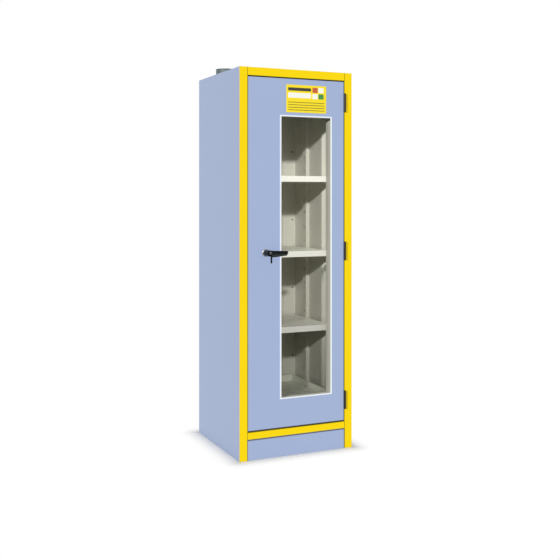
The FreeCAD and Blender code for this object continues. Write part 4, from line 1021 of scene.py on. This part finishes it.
# %% Hinge caps
HINGE_X = 0.271
HINGE_Y = -0.26825
HINGE_HALF = 0.0465
HINGE_HEIGHTS = (0.2525, 1.026, 1.7955)
CAP_RADIUS = 0.0058
CAP_HEIGHT = 0.0016
dome = np.linspace(0, np.pi / 2, 6)
cap_profile = np.column_stack((CAP_RADIUS * np.cos(dome), CAP_HEIGHT * np.sin(dome)))
cap_profile = np.vstack(([(0.0, 0.0)], cap_profile))
for number, middle in enumerate(HINGE_HEIGHTS):
    for label, sign, body in (("top", 1, "door"), ("bottom", -1, "cabinet")):
        turned_piece(
            f"hinge_cap_{label}_{number}", cap_profile * (1, sign),
            (HINGE_X, HINGE_Y, middle + sign * HINGE_HALF), "Z", body, hinge_paint, 24,
        )

# %% [markdown]
# ## The door's seal
#
# A soft rubber profile runs round the back of the door. Its section is a flat foot with a round
# bulb and two fine ribs, swept along a rectangle with rounded corners. At each point of the path
# the section lies in the plane across it: outwards from the middle of the door, and to the back.

# %% Seal
DOOR_BACK = -0.21125
SEAL_PATH_HALF = (0.262, 0.873)
SEAL_MIDDLE_Z = 1.024
SEAL_CORNER = 0.012
BULB_HALF = 0.0048
BULB_DEPTH = 0.0024
seal_angle = np.linspace(0, 2 * np.pi, 20, endpoint=False)
bulb_out = BULB_HALF * np.cos(seal_angle) * (1 + 0.05 * np.cos(6 * seal_angle))
bulb_back = BULB_DEPTH + np.clip(BULB_DEPTH * np.sin(seal_angle), -0.0021, 0.0023)
seal_x, seal_z = SEAL_PATH_HALF
path = rounded_outline(rectangle(-seal_x, seal_x, -seal_z, seal_z), SEAL_CORNER, 8)
ahead = np.roll(path, -1, axis=0) - np.roll(path, 1, axis=0)
ahead /= np.linalg.norm(ahead, axis=1, keepdims=True)
outward = np.column_stack((ahead[:, 1], -ahead[:, 0]))
seal_xz = path[:, None, :] + outward[:, None, :] * bulb_out[None, :, None]
seal_y = np.broadcast_to(DOOR_BACK + bulb_back[None, :], seal_xz.shape[:2])
seal_points = np.stack((seal_xz[..., 0], seal_y, seal_xz[..., 1] + SEAL_MIDDLE_Z), axis=-1)
door_bulb = piece_from(
    "door_bulb_seal", seal_points, grid_faces(len(path), len(seal_angle), True).tolist(), "door",
    seal_rubber,
)
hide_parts("door_seal")

# %% [markdown]
# ## Floor and background
#
# The picture has a white ground with only a soft shadow at the foot of the cabinet. The floor is a
# white sheet that grows see-through with the distance from the cabinet, so the shadow stays near
# it and no edge shows. The world is white wherever the camera, a mirror or the glass looks at it,
# and weaker as a lamp.


# %% Floor
FLOOR_HALF = 1.2
FLOOR_LEVEL = -0.0005
SHADOW_REACH = 0.11
FOOT_HALF = (0.315, 0.300)
FOOT_MIDDLE_Y = 0.03875

floor_mesh = bpy.data.meshes.new("floor")
square = [(x, y, FLOOR_LEVEL) for x, y in rectangle(-FLOOR_HALF, FLOOR_HALF, -FLOOR_HALF, FLOOR_HALF)]
floor_mesh.from_pydata(square, [], [(0, 1, 2, 3)])
floor = bpy.data.objects.new("floor", floor_mesh)
bpy.context.scene.collection.objects.link(floor)

floor_white, floor_shader, place = start_material("floor_white")
outside_x = (place.axis("X").math("ABSOLUTE") - FOOT_HALF[0]).math("MAXIMUM", 0.0)
outside_y = ((place.axis("Y") - FOOT_MIDDLE_Y).math("ABSOLUTE") - FOOT_HALF[1]).math("MAXIMUM", 0.0)
away = (outside_x * outside_x + outside_y * outside_y).math("SQRT")
cover = (1 - away / SHADOW_REACH).math("MAXIMUM", 0.0)
feed(floor_shader, Base_Color=linear(232, 232, 232), Roughness=0.9, Alpha=cover * cover)
put_on(floor, floor_white)
floor.visible_diffuse = False

# %% World
world = bpy.data.worlds.new("white_room")
bpy.context.scene.world = world
world.use_nodes = True
tree = world.node_tree
tree.nodes.clear()
world_output = tree.nodes.new("ShaderNodeOutputWorld")
background = tree.nodes.new("ShaderNodeBackground")
path_kind = tree.nodes.new("ShaderNodeLightPath")
seen = Wire(tree, path_kind.outputs["Is Camera Ray"])
seen = seen.math("MAXIMUM", Wire(tree, path_kind.outputs["Is Glossy Ray"]))
seen = seen.math("MAXIMUM", Wire(tree, path_kind.outputs["Is Transmission Ray"]))
strength = seen * (1 - WORLD_SHARE) + WORLD_SHARE  # 1 where it is seen, weak where it lights
tree.links.new(strength.socket, background.inputs["Strength"])
background.inputs["Color"].default_value = (1, 1, 1, 1)
tree.links.new(background.outputs[0], world_output.inputs[0])

bpy.context.scene.view_settings.view_transform = "Standard"
print("stage ready")

# %% [markdown]
# ## Lamps that light only some pieces
#
# A lamp can leave out chosen pieces, as things it lights or as things that throw its shadow. The
# spots light only the room, and the suns light all but that. The photograph shows no shadow of
# the handle on the door, so the suns leave out the shadow of the handle and the key. The shelf
# fronts are lit right up to the window's edge, and so is the tray at the bottom, so a second pair
# of spots, for shelves and tray alone, leaves out the door's shadow.

# %% Link the lamps
WALL_PIECES = {
    "back_liner", "left_liner", "right_liner", "ceiling_liner", "floor_liner", "left_uprights",
    "right_uprights", "shelf_clips", "liner_screws",
}
SHELF_PIECES = {"upper_shelf", "middle_shelf", "lower_shelf", "sump_tray", "tray_insert"}
HANDLE_PIECES = {
    "lever_hub", "lever_arm", "round_rosette", "key_grip", "key_cheek_left", "key_cheek_right", "key_pin",
    "lock_cylinder", "lock_plug", "key_blade",
}
DOOR_PIECES = HANDLE_PIECES | {
    "door_outer_skin", "door_core", "door_inner_skin", "glass_pane", "outer_glazing_trim",
    "inner_glazing_bead", "front_glazing_gasket", "rear_glazing_gasket", "door_bulb_seal", "door_hinges",
    "lock_case", "lock_cover", "upper_rod", "lower_rod", "rod_guides", "drive_pinion", "spindle",
    "bead_screws", "note_plate",
}


def linked_collection(name, piece_names, state):
    """A collection of named pieces that a lamp includes or leaves out."""
    chosen = bpy.data.collections.new(name)
    for piece in bpy.context.scene.objects:
        if piece.name in piece_names:
            chosen.objects.link(piece)
    for row in chosen.collection_objects:
        row.light_linking.link_state = state
    return chosen


not_inside = linked_collection("not_inside", WALL_PIECES | SHELF_PIECES, "EXCLUDE")
only_walls = linked_collection("only_walls", WALL_PIECES, "INCLUDE")
only_shelves = linked_collection("only_shelves", SHELF_PIECES, "INCLUDE")
no_handle = linked_collection("no_handle", HANDLE_PIECES, "EXCLUDE")
no_door = linked_collection("no_door", DOOR_PIECES, "EXCLUDE")
for sun in suns:
    sun.light_linking.receiver_collection = not_inside
    sun.light_linking.blocker_collection = no_handle
for spot in wall_spots:
    spot.light_linking.receiver_collection = only_walls
for spot in shelf_spots:
    spot.light_linking.receiver_collection = only_shelves
    spot.light_linking.blocker_collection = no_door
